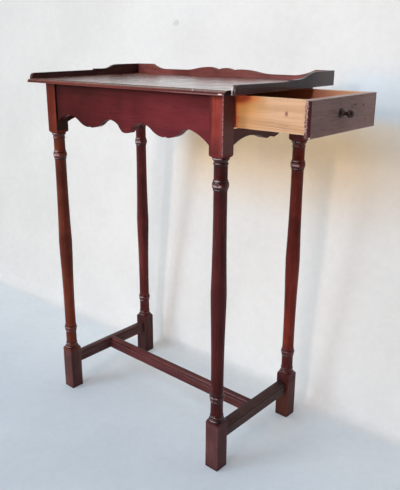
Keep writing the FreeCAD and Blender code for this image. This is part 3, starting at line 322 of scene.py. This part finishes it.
def polished(name, piece, turn, tones, rubbed, line=0.5, width=0.0016, rub=0.3, nicks=0.5, gloss=0.36,
             shine=0.04, coat=0.5, smooth=0.13, worn_side=None, shade=None, ridges=None, wax=None):
    """Old polished mahogany for one piece: its grain turned to run along it, its arrises rubbed pale.

    The tones are the light and the dark of the wood, or a function that gives the two for each place.
    Functions may also say where the arrises are worn, shade the colour, raise ridges and lay on wax.
    """
    scratched, smeared, open_pores = 0.14, 0.16, 0.2
    pore_depth, scratch_depth = -0.3, -0.15
    finish, tree, shader, place = new_finish(name)
    light, dark = tones(tree, place) if callable(tones) else tones
    lengthwise = along_grain(tree, place, turn)
    wood = use(tree, grain, {"Place": lengthwise, "Light": light, "Dark": dark, "Line": line})
    wear = use(tree, handled, {"Place": lengthwise})
    worn = arrises(tree, place, piece, width)
    bare = reckon(tree, "MULTIPLY_ADD", worn["Nicks"], nicks, times(tree, worn["Mask"], rub), clamp=True)
    if worn_side:
        bare = times(tree, bare, worn_side(tree, place))
    colour = blend(tree, bare, wood["Color"], rubbed)
    colour = blend(tree, times(tree, wear["Scratch"], scratched), colour, rubbed)
    if shade:
        colour = shade(tree, place, colour)
    rough = reckon(tree, "MULTIPLY_ADD", wear["Smear"], smeared, gloss)
    rough = reckon(tree, "MULTIPLY_ADD", wood["Pores"], open_pores, rough, clamp=True)
    height = reckon(tree, "MULTIPLY_ADD", wood["Pores"], pore_depth, wear["Dent"])
    height = reckon(tree, "MULTIPLY_ADD", wear["Scratch"], scratch_depth, height)
    if ridges:
        height = reckon(tree, "ADD", height, ridges(tree, place))
    bump = wire(tree, "ShaderNodeBump", {"Height": height, "Strength": 0.35, "Distance": 0.0006}).outputs[0]
    feed(tree, shader, {"Base Color": colour, "Roughness": rough, "Normal": bump, "Specular IOR Level": shine,
                        "Coat Weight": wax(tree, place) if wax else coat, "Coat Roughness": smooth})
    return finish


def eased(name, body, finish, width, picks=None):
    """The CAD piece with its arrises rounded, as scraping and wiping leave them, standing in for it."""
    weld, flat, sharp = 0.00001, math.radians(0.05), math.radians(32)
    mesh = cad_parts[name].data.copy()
    mesh.name = f"{name} eased"
    if "custom_normal" in mesh.attributes:
        mesh.attributes.remove(mesh.attributes["custom_normal"])
    bm = bmesh.new()
    bm.from_mesh(mesh)
    bmesh.ops.remove_doubles(bm, verts=bm.verts, dist=weld)
    bmesh.ops.dissolve_limit(bm, angle_limit=flat, verts=bm.verts, edges=bm.edges)
    weight = bm.edges.layers.float.new("bevel_weight_edge")
    for edge in bm.edges:
        edge.smooth = edge.calc_face_angle(0.0) < sharp
        if not edge.smooth and (picks is None or picks(edge)):
            edge[weight] = 1.0
    for face in bm.faces:
        face.smooth = True
    bm.to_mesh(mesh)
    bm.free()
    mesh.materials.clear()
    mesh.materials.append(finish)
    piece = bpy.data.objects.new(f"{name}_wood", mesh)
    bpy.context.scene.collection.objects.link(piece)
    rounding = piece.modifiers.new("eased arrises", "BEVEL")
    rounding.limit_method = "WEIGHT"
    rounding.width = width
    rounding.segments = 2
    rounding.harden_normals = True
    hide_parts(name)
    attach(piece, body)


def most(tree, *masks):
    """The strongest of several masks."""
    strongest = masks[0]
    for mask in masks[1:]:
        strongest = reckon(tree, "MAXIMUM", strongest, mask)
    return strongest


def off(tree, value, level):
    """How far a value is from a level, either way."""
    return reckon(tree, "ABSOLUTE", reckon(tree, "SUBTRACT", value, level))


def within(tree, value, low, high, fade):
    """1 between two levels, fading to 0 just inside each."""
    return times(tree, spread(tree, value, low, low + fade), spread(tree, value, high - fade, high, 1.0, 0.0))


# where the foot block ends and the head block starts
leg_foot, leg_head = 0.0982, 0.6038
# the beads and rings of the turning, each from its lower hollow to its upper one
beads = ((0.100, 0.116), (0.141, 0.162), (0.543, 0.565), (0.586, 0.602))
# heights of the narrow hollows beside the beads and rings
hollows = (0.1024, 0.1060, 0.1142, 0.1424, 0.1472, 0.1560, 0.5443, 0.5475, 0.5595, 0.5878, 0.5958, 0.5994)
# heights of the crests of the beads and rings, and how far the painted highlight on each reaches
crests = ((0.1045, 0.0010), (0.1120, 0.0012), (0.1448, 0.0010), (0.1535, 0.0016), (0.5462, 0.0008),
          (0.5532, 0.0032), (0.5612, 0.0018), (0.5905, 0.0009), (0.5985, 0.0013))


def on_a_block(edge):
    """True for the long arrises of the square blocks and for the edges of the foot."""
    shortest_side, on_the_floor = 0.02, 0.001
    low, high = sorted(vert.co.z for vert in edge.verts)
    return high - low > shortest_side or high < on_the_floor


def zoned(head, shaft, foot, tree, place):
    """Two tones of the wood at the head, along the turning and at the foot, with painted light and shade."""
    z = axes(tree, place)[2]
    light = blend(tree, spread(tree, z, leg_head - 0.012, leg_head + 0.012), shaft, head)
    light = blend(tree, spread(tree, z, leg_foot + 0.004, leg_foot - 0.006), light, foot)
    return light, blend(tree, 1.0, light, (0.40, 0.32, 0.32, 1.0), "MULTIPLY")


def outer_arris(middle, tree, place):
    """Wear on the one arris of the head block that stands outermost, and only traces of it elsewhere."""
    between_ends, arris_reach, traces = -0.066, 0.006, 0.06
    side_x, side_y = math.copysign(1.0, middle.x - between_ends), math.copysign(1.0, middle.y)
    x, y, z = axes(tree, place)
    out_x = spread(tree, times(tree, reckon(tree, "SUBTRACT", x, middle.x), side_x), 0.0, arris_reach)
    out_y = spread(tree, times(tree, reckon(tree, "SUBTRACT", y, middle.y), side_y), 0.0, arris_reach)
    return most(tree, times(tree, out_x, out_y, spread(tree, z, 0.10, 0.60, 0.2, 1.0)), traces)


def waxed_beads(tree, place):
    """Wax builds up and shines on the beads; the blocks and the shaft are nearly matt."""
    z = axes(tree, place)[2]
    gloss = most(tree, *(within(tree, z, low, high, 0.002) for low, high in beads))
    return reckon(tree, "MULTIPLY_ADD", gloss, 0.38, 0.20)


def lathe_marks(tree, place):
    """Fine rings left by the turner's gouge, on the turned length only."""
    turned = within(tree, axes(tree, place)[2], leg_foot, leg_head, 0.004)
    return times(tree, noise(tree, place, (8.0, 8.0, 900.0), 2.0, 0.6), turned)


def turning_shade_and_glints(middle, tree, place, colour):
    """Dirt and painted shade in the hollows, darker at the bottom, painted highlights on the crests."""
    x, y, z = axes(tree, place)
    # dark lines in the narrow hollows: dirt and painted shade
    dirt = most(tree, *(spread(tree, off(tree, z, hollow), 0.0003, 0.0014, 1.0, 0.0) for hollow in hollows))
    colour = blend(tree, times(tree, dirt, 0.85), colour, (0.010, 0.004, 0.004, 1.0))
    # darker at the bottom of the foot
    colour = blend(tree, spread(tree, z, 0.0, 0.010, 0.6, 0.0), colour, (0.030, 0.014, 0.013, 1.0))
    # a fixed direction, about half-way between the photo's camera and the main lamps
    lit_side = reckon(tree, "ADD", times(tree, reckon(tree, "SUBTRACT", x, middle.x), 0.12),
                      times(tree, reckon(tree, "SUBTRACT", y, middle.y), -0.99))
    # painted highlights on the crests, on one fixed side
    glints = most(tree, *(spread(tree, off(tree, z, crest), 0.0, reach, 1.0, 0.0) for crest, reach in crests))
    patchy = spread(tree, noise(tree, place, 260.0, 2.0, 0.6), 0.34, 0.52)
    glints = times(tree, glints, spread(tree, lit_side, 0.0105, 0.0128), patchy, 0.8)
    return blend(tree, glints, colour, (0.66, 0.49, 0.50, 1.0))


def by_the_drawer(middle, tree, place, colour):
    """The head block beside the drawer, with the photo's shading: dark at its left, red in the middle."""
    colour = turning_shade_and_glints(middle, tree, place, colour)
    x, y, z = axes(tree, place)
    head = spread(tree, z, leg_head - 0.001, leg_head + 0.004)
    shaded = most(tree, spread(tree, x, 0.1400, 0.1475, 0.85, 0.0), spread(tree, z, 0.606, 0.650, 0.7, 0.0),
                  spread(tree, z, 0.690, 0.702, 0.0, 0.7))
    colour = blend(tree, times(tree, shaded, head), colour, (0.099, 0.012, 0.0145, 1.0))
    pinkish = times(tree, spread(tree, x, 0.1570, 0.1655, 0.0, 0.5), head)
    colour = blend(tree, pinkish, colour, (0.284, 0.073, 0.069, 1.0))
    # the side that faces outwards is painted dull and brownish, as shade
    outward = axes(tree, wire(tree, "ShaderNodeNewGeometry").outputs["True Normal"])[0]
    outside = times(tree, spread(tree, outward, 0.30, 0.60), head, 0.9)
    dull = blend(tree, spread(tree, z, 0.640, 0.675), (0.150, 0.065, 0.065, 1.0), (0.097, 0.035, 0.035, 1.0))
    colour = blend(tree, outside, colour, dull)
    # the outermost arris is broken and bare
    right_face, front_face = 0.1667, -0.1335
    edge = most(tree, reckon(tree, "SUBTRACT", right_face, x), reckon(tree, "SUBTRACT", y, front_face))
    torn = reckon(tree, "SUBTRACT", noise(tree, place, (10.0, 10.0, 420.0), 4.0, 0.75), 0.5)
    reach = reckon(tree, "MULTIPLY_ADD", torn, 0.008, spread(tree, z, 0.615, 0.665, 0.0004, 0.0010))
    broken = times(tree, reckon(tree, "LESS_THAN", edge, reach), head, 0.75)
    return blend(tree, broken, colour, (0.50, 0.26, 0.24, 1.0))


def beside_the_apron(middle, tree, place, colour):
    """The front left leg: the inner side of its head block, below the apron, is painted dark as shade."""
    colour = turning_shade_and_glints(middle, tree, place, colour)
    x, _, z = axes(tree, place)
    # painted shade on the inner side of the head block
    inner = times(tree, spread(tree, x, -0.2712, -0.2706), spread(tree, z, leg_head, leg_head + 0.004), 0.92)
    return blend(tree, inner, colour, (0.018, 0.012, 0.011, 1.0))


def dark_low_down(middle, tree, place, colour):
    """The back right leg: darker on its lower rings and on the shoulders of its foot."""
    colour = turning_shade_and_glints(middle, tree, place, colour)
    z = axes(tree, place)[2]
    darkening = times(tree, spread(tree, z, 0.070, 0.088), spread(tree, z, 0.150, 0.180, 0.75, 0.0))
    return blend(tree, darkening, colour, (0.060, 0.012, 0.014, 1.0))


# the turn that brings the grain upright, the light tone of each leg's head, shaft and foot, and its own wear;
# the tones differ more than wood would, because they were matched to the photo and carry its light and shade
upright = (0, 90, 0)
leg_tones = {
    "leg_front_left": ((0.265, 0.031, 0.0155, 1.0), (0.255, 0.052, 0.024, 1.0), (0.205, 0.086, 0.076, 1.0)),
    "leg_front_right": ((0.64, 0.100, 0.071, 1.0), (0.113, 0.0185, 0.017, 1.0), (0.225, 0.090, 0.086, 1.0)),
    "leg_back_left": ((0.18, 0.026, 0.023, 1.0), (0.175, 0.031, 0.027, 1.0), (0.095, 0.030, 0.029, 1.0)),
    "leg_back_right": ((0.18, 0.025, 0.020, 1.0), (0.255, 0.033, 0.018, 1.0), (0.125, 0.034, 0.022, 1.0)),
}
leg_marks_and_shading = {"leg_front_left": beside_the_apron, "leg_front_right": by_the_drawer,
            "leg_back_left": turning_shade_and_glints, "leg_back_right": dark_low_down}
for name, (head, shaft, foot) in leg_tones.items():
    middle = middle_and_half(name)[0]
    finish = polished(f"mahogany of {name}", name, upright, partial(zoned, head, shaft, foot),
                      (0.50, 0.26, 0.21, 1.0), rub=0.45, nicks=0.9, gloss=0.4,
                      worn_side=partial(outer_arris, middle), shade=partial(leg_marks_and_shading[name], middle),
                      ridges=lathe_marks, wax=waxed_beads)
    eased(name, "table", finish, 0.0008, on_a_block)


# Aprons and drawer rail: mahogany boards sawn into scallops along their lower edges and tenoned into the legs.
# Their faces are polished, and painted darkest under the top and by the left legs, as shade.
def apron_shading(tree, place, colour):
    """With the photo's shading: darkest under the top and by the left legs, brighter by the drawer."""
    x, _, z = axes(tree, place)
    red, green, blue = (spread(tree, x, -0.27, 0.13, left, right)
                        for left, right in ((0.58, 1.20), (0.55, 1.60), (0.50, 1.60)))
    along = wire(tree, "ShaderNodeCombineColor", {0: red, 1: green, 2: blue}).outputs[0]
    colour = blend(tree, 1.0, colour, along, "MULTIPLY")
    darkening = (0.02, 0.006, 0.006, 1.0)
    colour = blend(tree, spread(tree, x, -0.268, -0.245, 0.5, 0.0), colour, darkening)
    return blend(tree, spread(tree, z, 0.66, 0.703, 0.0, 0.40), colour, darkening)


# turns that lay the grain along the table's length and across it
lengthways, crossways = (0, 0, 0), (0, 0, 90)
apron_tones = ((0.185, 0.018, 0.022, 1.0), (0.100, 0.0095, 0.012, 1.0))
# the drawer rail's face turns away from the light, and its darker tones are painted shade
rail_tones = ((0.110, 0.036, 0.034, 1.0), (0.055, 0.018, 0.018, 1.0))
for name, turn, tones in (("front_apron", lengthways, apron_tones), ("back_apron", lengthways, apron_tones),
                          ("left_apron", crossways, apron_tones), ("drawer_rail", crossways, rail_tones)):
    finish = polished(f"mahogany of {name}", name, turn, tones, (0.30, 0.10, 0.07, 1.0), line=0.25, rub=0.0,
                      nicks=0.0, gloss=0.42, coat=0.09, shade=apron_shading)
    eased(name, "table", finish, 0.0006)


# Stretchers: three mahogany rails low down, joined as an H, each with a rounded edge above a fillet.
# Feet have rubbed the polish from the rounded edges; below them lies a line of painted shade, on the fillet a
# painted highlight, and the flat tops are darker.
stretcher_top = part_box("centre_stretcher")[1][2]
fillet = stretcher_top - 0.0085


def fillet_shade_and_highlight(tree, place, colour):
    """Painted shade in the corner above the fillet, a painted highlight on its arris, and a darker flat top.
    """
    z = axes(tree, place)[2]
    # a dark line of painted shade in the corner above the fillet
    corner = spread(tree, off(tree, z, fillet + 0.0006), 0.0003, 0.0010, 0.85, 0.0)
    colour = blend(tree, corner, colour, (0.014, 0.006, 0.006, 1.0))
    # a pale line of painted highlight along the arris of the fillet
    highlight_line = spread(tree, off(tree, z, fillet - 0.0006), 0.0002, 0.0008, 0.4, 0.0)
    colour = blend(tree, highlight_line, colour, (0.32, 0.16, 0.14, 1.0))
    flat = spread(tree, z, stretcher_top - 0.0008, stretcher_top - 0.0002, 0.0, 0.45)
    return blend(tree, flat, colour, (0.050, 0.022, 0.022, 1.0))


for name, turn, tones in (
        ("left_stretcher", crossways, ((0.150, 0.060, 0.055, 1.0), (0.060, 0.024, 0.022, 1.0))),
        ("right_stretcher", crossways, ((0.105, 0.050, 0.042, 1.0), (0.040, 0.018, 0.017, 1.0))),
        ("centre_stretcher", lengthways, ((0.150, 0.038, 0.038, 1.0), (0.052, 0.014, 0.014, 1.0)))):
    finish = polished(f"mahogany of {name}", name, turn, tones, (0.26, 0.13, 0.11, 1.0), width=0.0022,
                      rub=0.15, nicks=0.35, gloss=0.38, coat=0.2, shade=fillet_shade_and_highlight)
    eased(name, "table", finish, 0.0005)


# Top: one thin mahogany board, its front edge worked to an ovolo under a small fillet.
# It is the glossiest piece, waxed and scratched along the grain.
(_, front, _), (end, _, surface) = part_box("top_board")
# chips in the front edge, the first a painted glint: the middle of each, how far it reaches along, in and up,
# and its colour
painted_glint, dulled = (0.86, 0.66, 0.62, 1.0), (0.46, 0.30, 0.28, 1.0)
chips = (((0.1790, front, 0.7043), (0.0052, 0.003, 0.0013), painted_glint),
         ((0.1345, front + 0.002, 0.7089), (0.0085, 0.004, 0.0007), dulled),
         ((0.1215, front + 0.002, 0.7081), (0.0028, 0.004, 0.0012), dulled),
         ((-0.0410, front, 0.7088), (0.0040, 0.002, 0.0008), dulled))


def ball(tree, place, centre, radii):
    """1 inside an ellipsoid, fading to 0 at its skin."""
    out = reckon_places(tree, "DIVIDE", reckon_places(tree, "SUBTRACT", place, centre), radii)
    reach = wire(tree, "ShaderNodeVectorMath", {0: out}, operation="LENGTH").outputs["Value"]
    return spread(tree, reach, 0.55, 1.0, 1.0, 0.0)


def on_the_moulding(tree, place):
    """1 on the ovolo and the fillet of the front edge, and on the board's right end."""
    x, _, z = axes(tree, place)
    right_end = times(tree, spread(tree, x, end - 0.0006, end - 0.0002),
                      spread(tree, z, surface - 0.0006, surface - 0.0002, 1.0, 0.0))
    return most(tree, right_end, spread(tree, z, surface - 0.0042, surface - 0.0022, 1.0, 0.0))


def dark_moulding(tree, place, colour):
    """Dark red front edge with painted highlights above and below it; a few chips, one a painted glint."""
    x, y, z = axes(tree, place)
    red = blend(tree, spread(tree, x, -0.30, -0.22), (0.080, 0.014, 0.017, 1.0), (0.175, 0.032, 0.026, 1.0))
    red = blend(tree, spread(tree, x, -0.10, 0.12), red, (0.085, 0.012, 0.014, 1.0))
    # a painted highlight low on the ovolo
    low_highlight = times(tree, spread(tree, z, surface - 0.0064, surface - 0.0056, 1.0, 0.0),
                       spread(tree, x, 0.02, 0.12, 0.1, 0.7))
    red = blend(tree, low_highlight, red, (0.400, 0.170, 0.160, 1.0))
    colour = blend(tree, times(tree, on_the_moulding(tree, place), 0.92), colour, red)
    # a painted highlight along the upper arris
    highlight_line = times(tree, spread(tree, z, surface - 0.0008, surface - 0.0003),
                       spread(tree, y, front + 0.0004, front + 0.0012, 0.8, 0.0))
    colour = blend(tree, highlight_line, colour, (0.42, 0.15, 0.11, 1.0))
    # the board's right end face is painted near-black, as shade
    right_end = spread(tree, x, end - 0.0010, end - 0.0004, 0.0, 0.95)
    colour = blend(tree, right_end, colour, (0.012, 0.008, 0.008, 1.0))
    for centre, radii, bare in chips:
        colour = blend(tree, ball(tree, place, centre, radii), colour, bare)
    return colour


def waxed_surface(tree, place):
    """Wax shines on the board's face, most towards the drawer, and hardly at all on the edges."""
    x = axes(tree, place)[0]
    bare = reckon(tree, "SUBTRACT", 1.0, times(tree, on_the_moulding(tree, place), 0.95))
    return times(tree, bare, spread(tree, x, -0.31, 0.01, 0.25, 0.98))


finish = polished("mahogany of the top", "top_board", lengthways,
                  ((0.20, 0.060, 0.040, 1.0), (0.085, 0.022, 0.018, 1.0)), (0.45, 0.22, 0.17, 1.0),
                  rub=0.0, nicks=0.0, gloss=0.22, shine=0.06, smooth=0.17, shade=dark_moulding,
                  wax=waxed_surface)
finish.node_tree.nodes["Principled BSDF"].inputs["Coat IOR"].default_value = 1.75
eased("top_board", "table", finish, 0.0004)


# Gallery: three shaped mahogany boards planted on the edges of the top, low at the front and high at the back.
# The upper edges are rubbed pale by dusting.
def right_gallery_marks_and_sheen(tree, place, colour):
    """The right gallery: pale broken front end with a painted highlight, a painted sheen behind, a nail hole
    outside.
    """
    x, y, _ = axes(tree, place)
    torn = reckon(tree, "MULTIPLY_ADD", noise(tree, place, 300.0, 3.0, 0.7), 0.004, y)
    broken = times(tree, spread(tree, torn, -0.1380, -0.1360, 1.0, 0.0),
                   spread(tree, x, 0.1900, 0.1912, 1.0, 0.0))
    # the broken front end is pale, partly a painted highlight
    colour = blend(tree, broken, colour, (0.72, 0.58, 0.54, 1.0))
    # a grey painted sheen over the high back part of the board
    colour = blend(tree, spread(tree, y, 0.06, 0.14, 0.0, 0.85), colour, (0.125, 0.092, 0.086, 1.0))
    nail_hole = ball(tree, place, (0.1953, 0.0618, 0.7082), (0.002, 0.0016, 0.0016))
    return blend(tree, nail_hole, colour, (0.008, 0.004, 0.004, 1.0))


# tones set piece by piece with painted light and shade: the faces turned to the right, away from the light,
# are darkest
for name, turn, tones, coat, wear in (
        ("gallery_left", crossways, ((0.112, 0.042, 0.036, 1.0), (0.053, 0.019, 0.017, 1.0)), 0.15, None),
        ("gallery_right", crossways, ((0.066, 0.034, 0.032, 1.0), (0.034, 0.016, 0.016, 1.0)), 0.5,
         right_gallery_marks_and_sheen),
        ("gallery_back", lengthways, ((0.320, 0.090, 0.075, 1.0), (0.150, 0.038, 0.032, 1.0)), 0.3, None)):
    finish = polished(f"mahogany of {name}", name, turn, tones, (0.42, 0.22, 0.18, 1.0), width=0.0012,
                      rub=0.2, nicks=0.6, coat=coat, shade=wear)
    eased(name, "table", finish, 0.0006)


# Nails: dark iron nails through the galleries into the top, and through the drawer's sides and bottom.
# They are left as they are, with a dull rusty skin.
def dress(name, finish):
    """Give a CAD piece that keeps its own shape its finish."""
    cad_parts[name].data.materials.clear()
    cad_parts[name].data.materials.append(finish)


iron, tree, shader, place = new_finish("rusty iron")
rust = spread(tree, noise(tree, place, 900.0, 3.0), 0.4, 0.6)
feed(tree, shader, {"Base Color": blend(tree, rust, (0.03, 0.025, 0.022, 1.0), (0.10, 0.045, 0.025, 1.0)),
                    "Roughness": 0.55, "Metallic": 0.6})
for name in ("gallery_nails", "drawer_nails"):
    dress(name, iron)


# Drawer front: a mahogany board with its ends rebated for the sides, greyish on its face with a painted sheen.
# Its ends are only partly stained, and its arrises are pale.
_, half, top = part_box("drawer_front")[1]
stained_from, face = 0.3062, 0.3067
# marks on the face: the middle of each, its reach each way, its strength and its colour
filler, bared = (0.035, 0.018, 0.018, 1.0), (0.55, 0.42, 0.36, 1.0)
marks = (((face, 0.0311, 0.6833), (0.003, 0.0030, 0.0020), 0.8, filler),
         ((face, 0.0591, 0.6815), (0.003, 0.0030, 0.0020), 0.9, filler),
         ((face, -0.1038, 0.6430), (0.004, 0.0060, 0.0030), 1.0, bared),
         ((face, -0.1010, 0.6425), (0.004, 0.0030, 0.0016), 1.0, filler),
         ((face, 0.0060, 0.6640), (0.003, 0.0022, 0.0012), 0.7, bared),
         ((face, 0.0140, 0.6655), (0.003, 0.0014, 0.0016), 0.7, bared))


def drawer_marks(tree, place, colour):
    """The ends are bare and ragged behind a dark band; two filled holes and small dents mark the face."""
    x, y, z = axes(tree, place)
    mottled = blend(tree, spread(tree, noise(tree, place, (420.0, 420.0, 330.0), 3.0, 0.7), 0.42, 0.58),
                    (0.54, 0.33, 0.27, 1.0), (0.20, 0.085, 0.08, 1.0))
    torn = reckon(tree, "MULTIPLY_ADD", noise(tree, place, (300.0, 300.0, 220.0), 4.0, 0.75), 0.010, x)
    stained = spread(tree, torn, stained_from - 0.0008, stained_from + 0.0006)
    bare_end = blend(tree, stained, mottled, (0.050, 0.010, 0.011, 1.0))
    bare_end = blend(tree, spread(tree, z, 0.6430, 0.6560, 0.75, 0.0), bare_end, (0.060, 0.018, 0.018, 1.0))
    colour = blend(tree, spread(tree, off(tree, y, 0.0), half - 0.0012, half - 0.0004), colour, bare_end)
    upper = spread(tree, z, top - 0.0010, top - 0.0004, 0.0, 0.75)
    colour = blend(tree, upper, colour, (0.52, 0.36, 0.32, 1.0))
    for centre, radii, strength, mark in marks:
        colour = blend(tree, times(tree, ball(tree, place, centre, radii), strength), colour, mark)
    specks = times(tree, spread(tree, noise(tree, place, 240.0, 2.0, 0.6), 0.66, 0.72),
                   spread(tree, y, 0.02, 0.08), spread(tree, z, 0.655, 0.670, 1.0, 0.15))
    return blend(tree, specks, colour, (0.045, 0.025, 0.025, 1.0))


# the greyish tones of the face carry a painted sheen of cool reflection
finish = polished("mahogany of the drawer front", "drawer_front", crossways,
                  ((0.360, 0.222, 0.196, 1.0), (0.240, 0.143, 0.128, 1.0)), (0.55, 0.36, 0.31, 1.0),
                  line=0.15, width=0.0013, rub=0.35, gloss=0.5, coat=0.12, shade=drawer_marks)
eased("drawer_front", "drawer", finish, 0.0006)


# Drawer sides, back and bottom: unfinished pine boards, nailed to the front and dovetailed at the back.
# The pine has gone tan, with amber and orange matched to the photo in the shade beside the leg; in open light,
# with the drawer fully out, the orange is more vivid than stained pine would be.
def bare_pine(piece, turn, stains=None):
    """Old bare pine for one piece, its grain turned to run along it."""
    finish, tree, shader, place = new_finish(f"pine of {piece}")
    lengthwise = along_grain(tree, place, turn)
    rings = noise(tree, lengthwise, (5.0, 90.0, 90.0), 3.0, 0.5, 0.8)
    colour = blend(tree, spread(tree, rings, 0.35, 0.65), (0.63, 0.345, 0.175, 1.0),
                   (0.755, 0.430, 0.240, 1.0))
    late_wood = spread(tree, noise(tree, lengthwise, (7.0, 260.0, 260.0), 3.0, 0.6, 0.6), 0.58, 0.72)
    colour = blend(tree, times(tree, late_wood, 0.4), colour, (0.36, 0.17, 0.07, 1.0))
    grime = spread(tree, noise(tree, place, 18.0, 4.0, 0.65), 0.52, 0.75)
    colour = blend(tree, times(tree, grime, 0.25), colour, (0.30, 0.16, 0.09, 1.0))
    rubbed = arrises(tree, place, piece, 0.0016)["Mask"]
    colour = blend(tree, times(tree, rubbed, 0.35), colour, (0.80, 0.56, 0.38, 1.0))
    if stains:
        colour = stains(tree, place, colour)
    bump = wire(tree, "ShaderNodeBump", {"Height": late_wood, "Strength": 0.3, "Distance": 0.0004}).outputs[0]
    feed(tree, shader, {"Base Color": colour, "Normal": bump, "Roughness": 0.68})
    return finish


# wavy cracks low on the side: the height of each at its inner end, its fall, its thickness and its strength
cracks_from = 0.184
cracks = ((0.6563, 0.023, 0.0009, 0.95), (0.6622, 0.030, 0.0008, 0.65), (0.6660, 0.012, 0.0007, 0.50),
          (0.6520, 0.010, 0.0008, 0.65))


def front_side_marks(tree, place, colour):
    """Orange and amber at the upper left, stain and painted warm light; a knot under a saw mark, long wavy
    cracks low.
    """
    x, _, z = axes(tree, place)
    cloudy = reckon(tree, "SUBTRACT", noise(tree, place, (30.0, 30.0, 60.0), 3.0, 0.6), 0.5)
    far = reckon(tree, "ADD", x, times(tree, cloudy, 0.03))
    # the amber and the orange near the leg are stain brightened with painted warm light
    amber = times(tree, spread(tree, far, 0.165, 0.245, 1.0, 0.0), spread(tree, z, 0.650, 0.690, 0.45, 1.0),
                  spread(tree, far, 0.110, 0.150))
    colour = blend(tree, amber, colour, (1.0, 0.43, 0.095, 1.0))
    rim = reckon(tree, "ADD", z, times(tree, spread(tree, x, 0.165, 0.205, 1.0, 0.0), 0.008))
    orange = times(tree, spread(tree, rim, 0.686, 0.699), spread(tree, far, 0.185, 0.215, 1.0, 0.0))
    orange = most(tree, orange, spread(tree, far, 0.1660, 0.1740, 0.75, 0.0))
    orange = times(tree, orange, spread(tree, far, 0.135, 0.160))
    colour = blend(tree, orange, colour, (1.0, 0.15, 0.035, 1.0))
    knot = ball(tree, place, (0.2615, -0.0993, 0.6762), (0.0034, 0.004, 0.0050))
    colour = blend(tree, knot, colour, (0.36, 0.13, 0.10, 1.0))
    saw_mark = times(tree, spread(tree, off(tree, x, 0.2630), 0.0003, 0.0010, 0.12, 0.0),
                     spread(tree, z, 0.676, 0.682))
    colour = blend(tree, saw_mark, colour, (0.40, 0.20, 0.12, 1.0))
    sway = reckon(tree, "SUBTRACT", noise(tree, place, (38.0, 1.0, 12.0), 2.0, 0.5), 0.5)
    clearer = spread(tree, x, 0.175, 0.25, 0.4, 1.0)
    for height, fall, thick, strength in cracks:
        level = reckon(tree, "MULTIPLY_ADD", reckon(tree, "SUBTRACT", x, cracks_from), -fall, height)
        level = reckon(tree, "MULTIPLY_ADD", sway, 0.004, level)
        crack = spread(tree, off(tree, z, level), 0.0, thick, strength, 0.0)
        colour = blend(tree, times(tree, crack, clearer), colour, (0.42, 0.19, 0.08, 1.0))
    return colour


def far_side_orange(tree, place, colour):
    """The far side is orange-brown near the table, and its upper edge is pale."""
    x, _, z = axes(tree, place)
    orange_near_table = times(tree, spread(tree, x, 0.20, 0.285, 0.9, 0.35), spread(tree, z, 0.6975, 0.6985, 1.0, 0.1),
                 spread(tree, x, 0.10, 0.17, 0.3, 1.0))
    return blend(tree, orange_near_table, colour, (0.49, 0.18, 0.10, 1.0))


for name, turn, stains in (("drawer_side_front", lengthways, front_side_marks),
                           ("drawer_side_back", lengthways, far_side_orange), ("drawer_back", crossways, None),
                           ("drawer_bottom", crossways, None)):
    eased(name, "drawer", bare_pine(name, turn, stains), 0.0005)


# Knob: one turned piece of mahogany, nearly black with handling, glued into the drawer front by its spigot.
# The head is polished and the neck is dirty.
dress("drawer_knob", polished("mahogany of the knob", "drawer_knob", lengthways,
                              ((0.040, 0.014, 0.012, 1.0), (0.015, 0.006, 0.005, 1.0)),
                              (0.12, 0.05, 0.035, 1.0), rub=0.0, nicks=0.0, gloss=0.3))


# What carries the drawer: pine runners, guides and stops, and the glue blocks under the top.
# They are plain planed strips, with the same pine as the drawer but no stains.
for name in ("runner_front", "runner_back", "guide_front", "guide_back", "drawer_stops", "glue_blocks"):
    dress(name, bare_pine(name, lengthways))
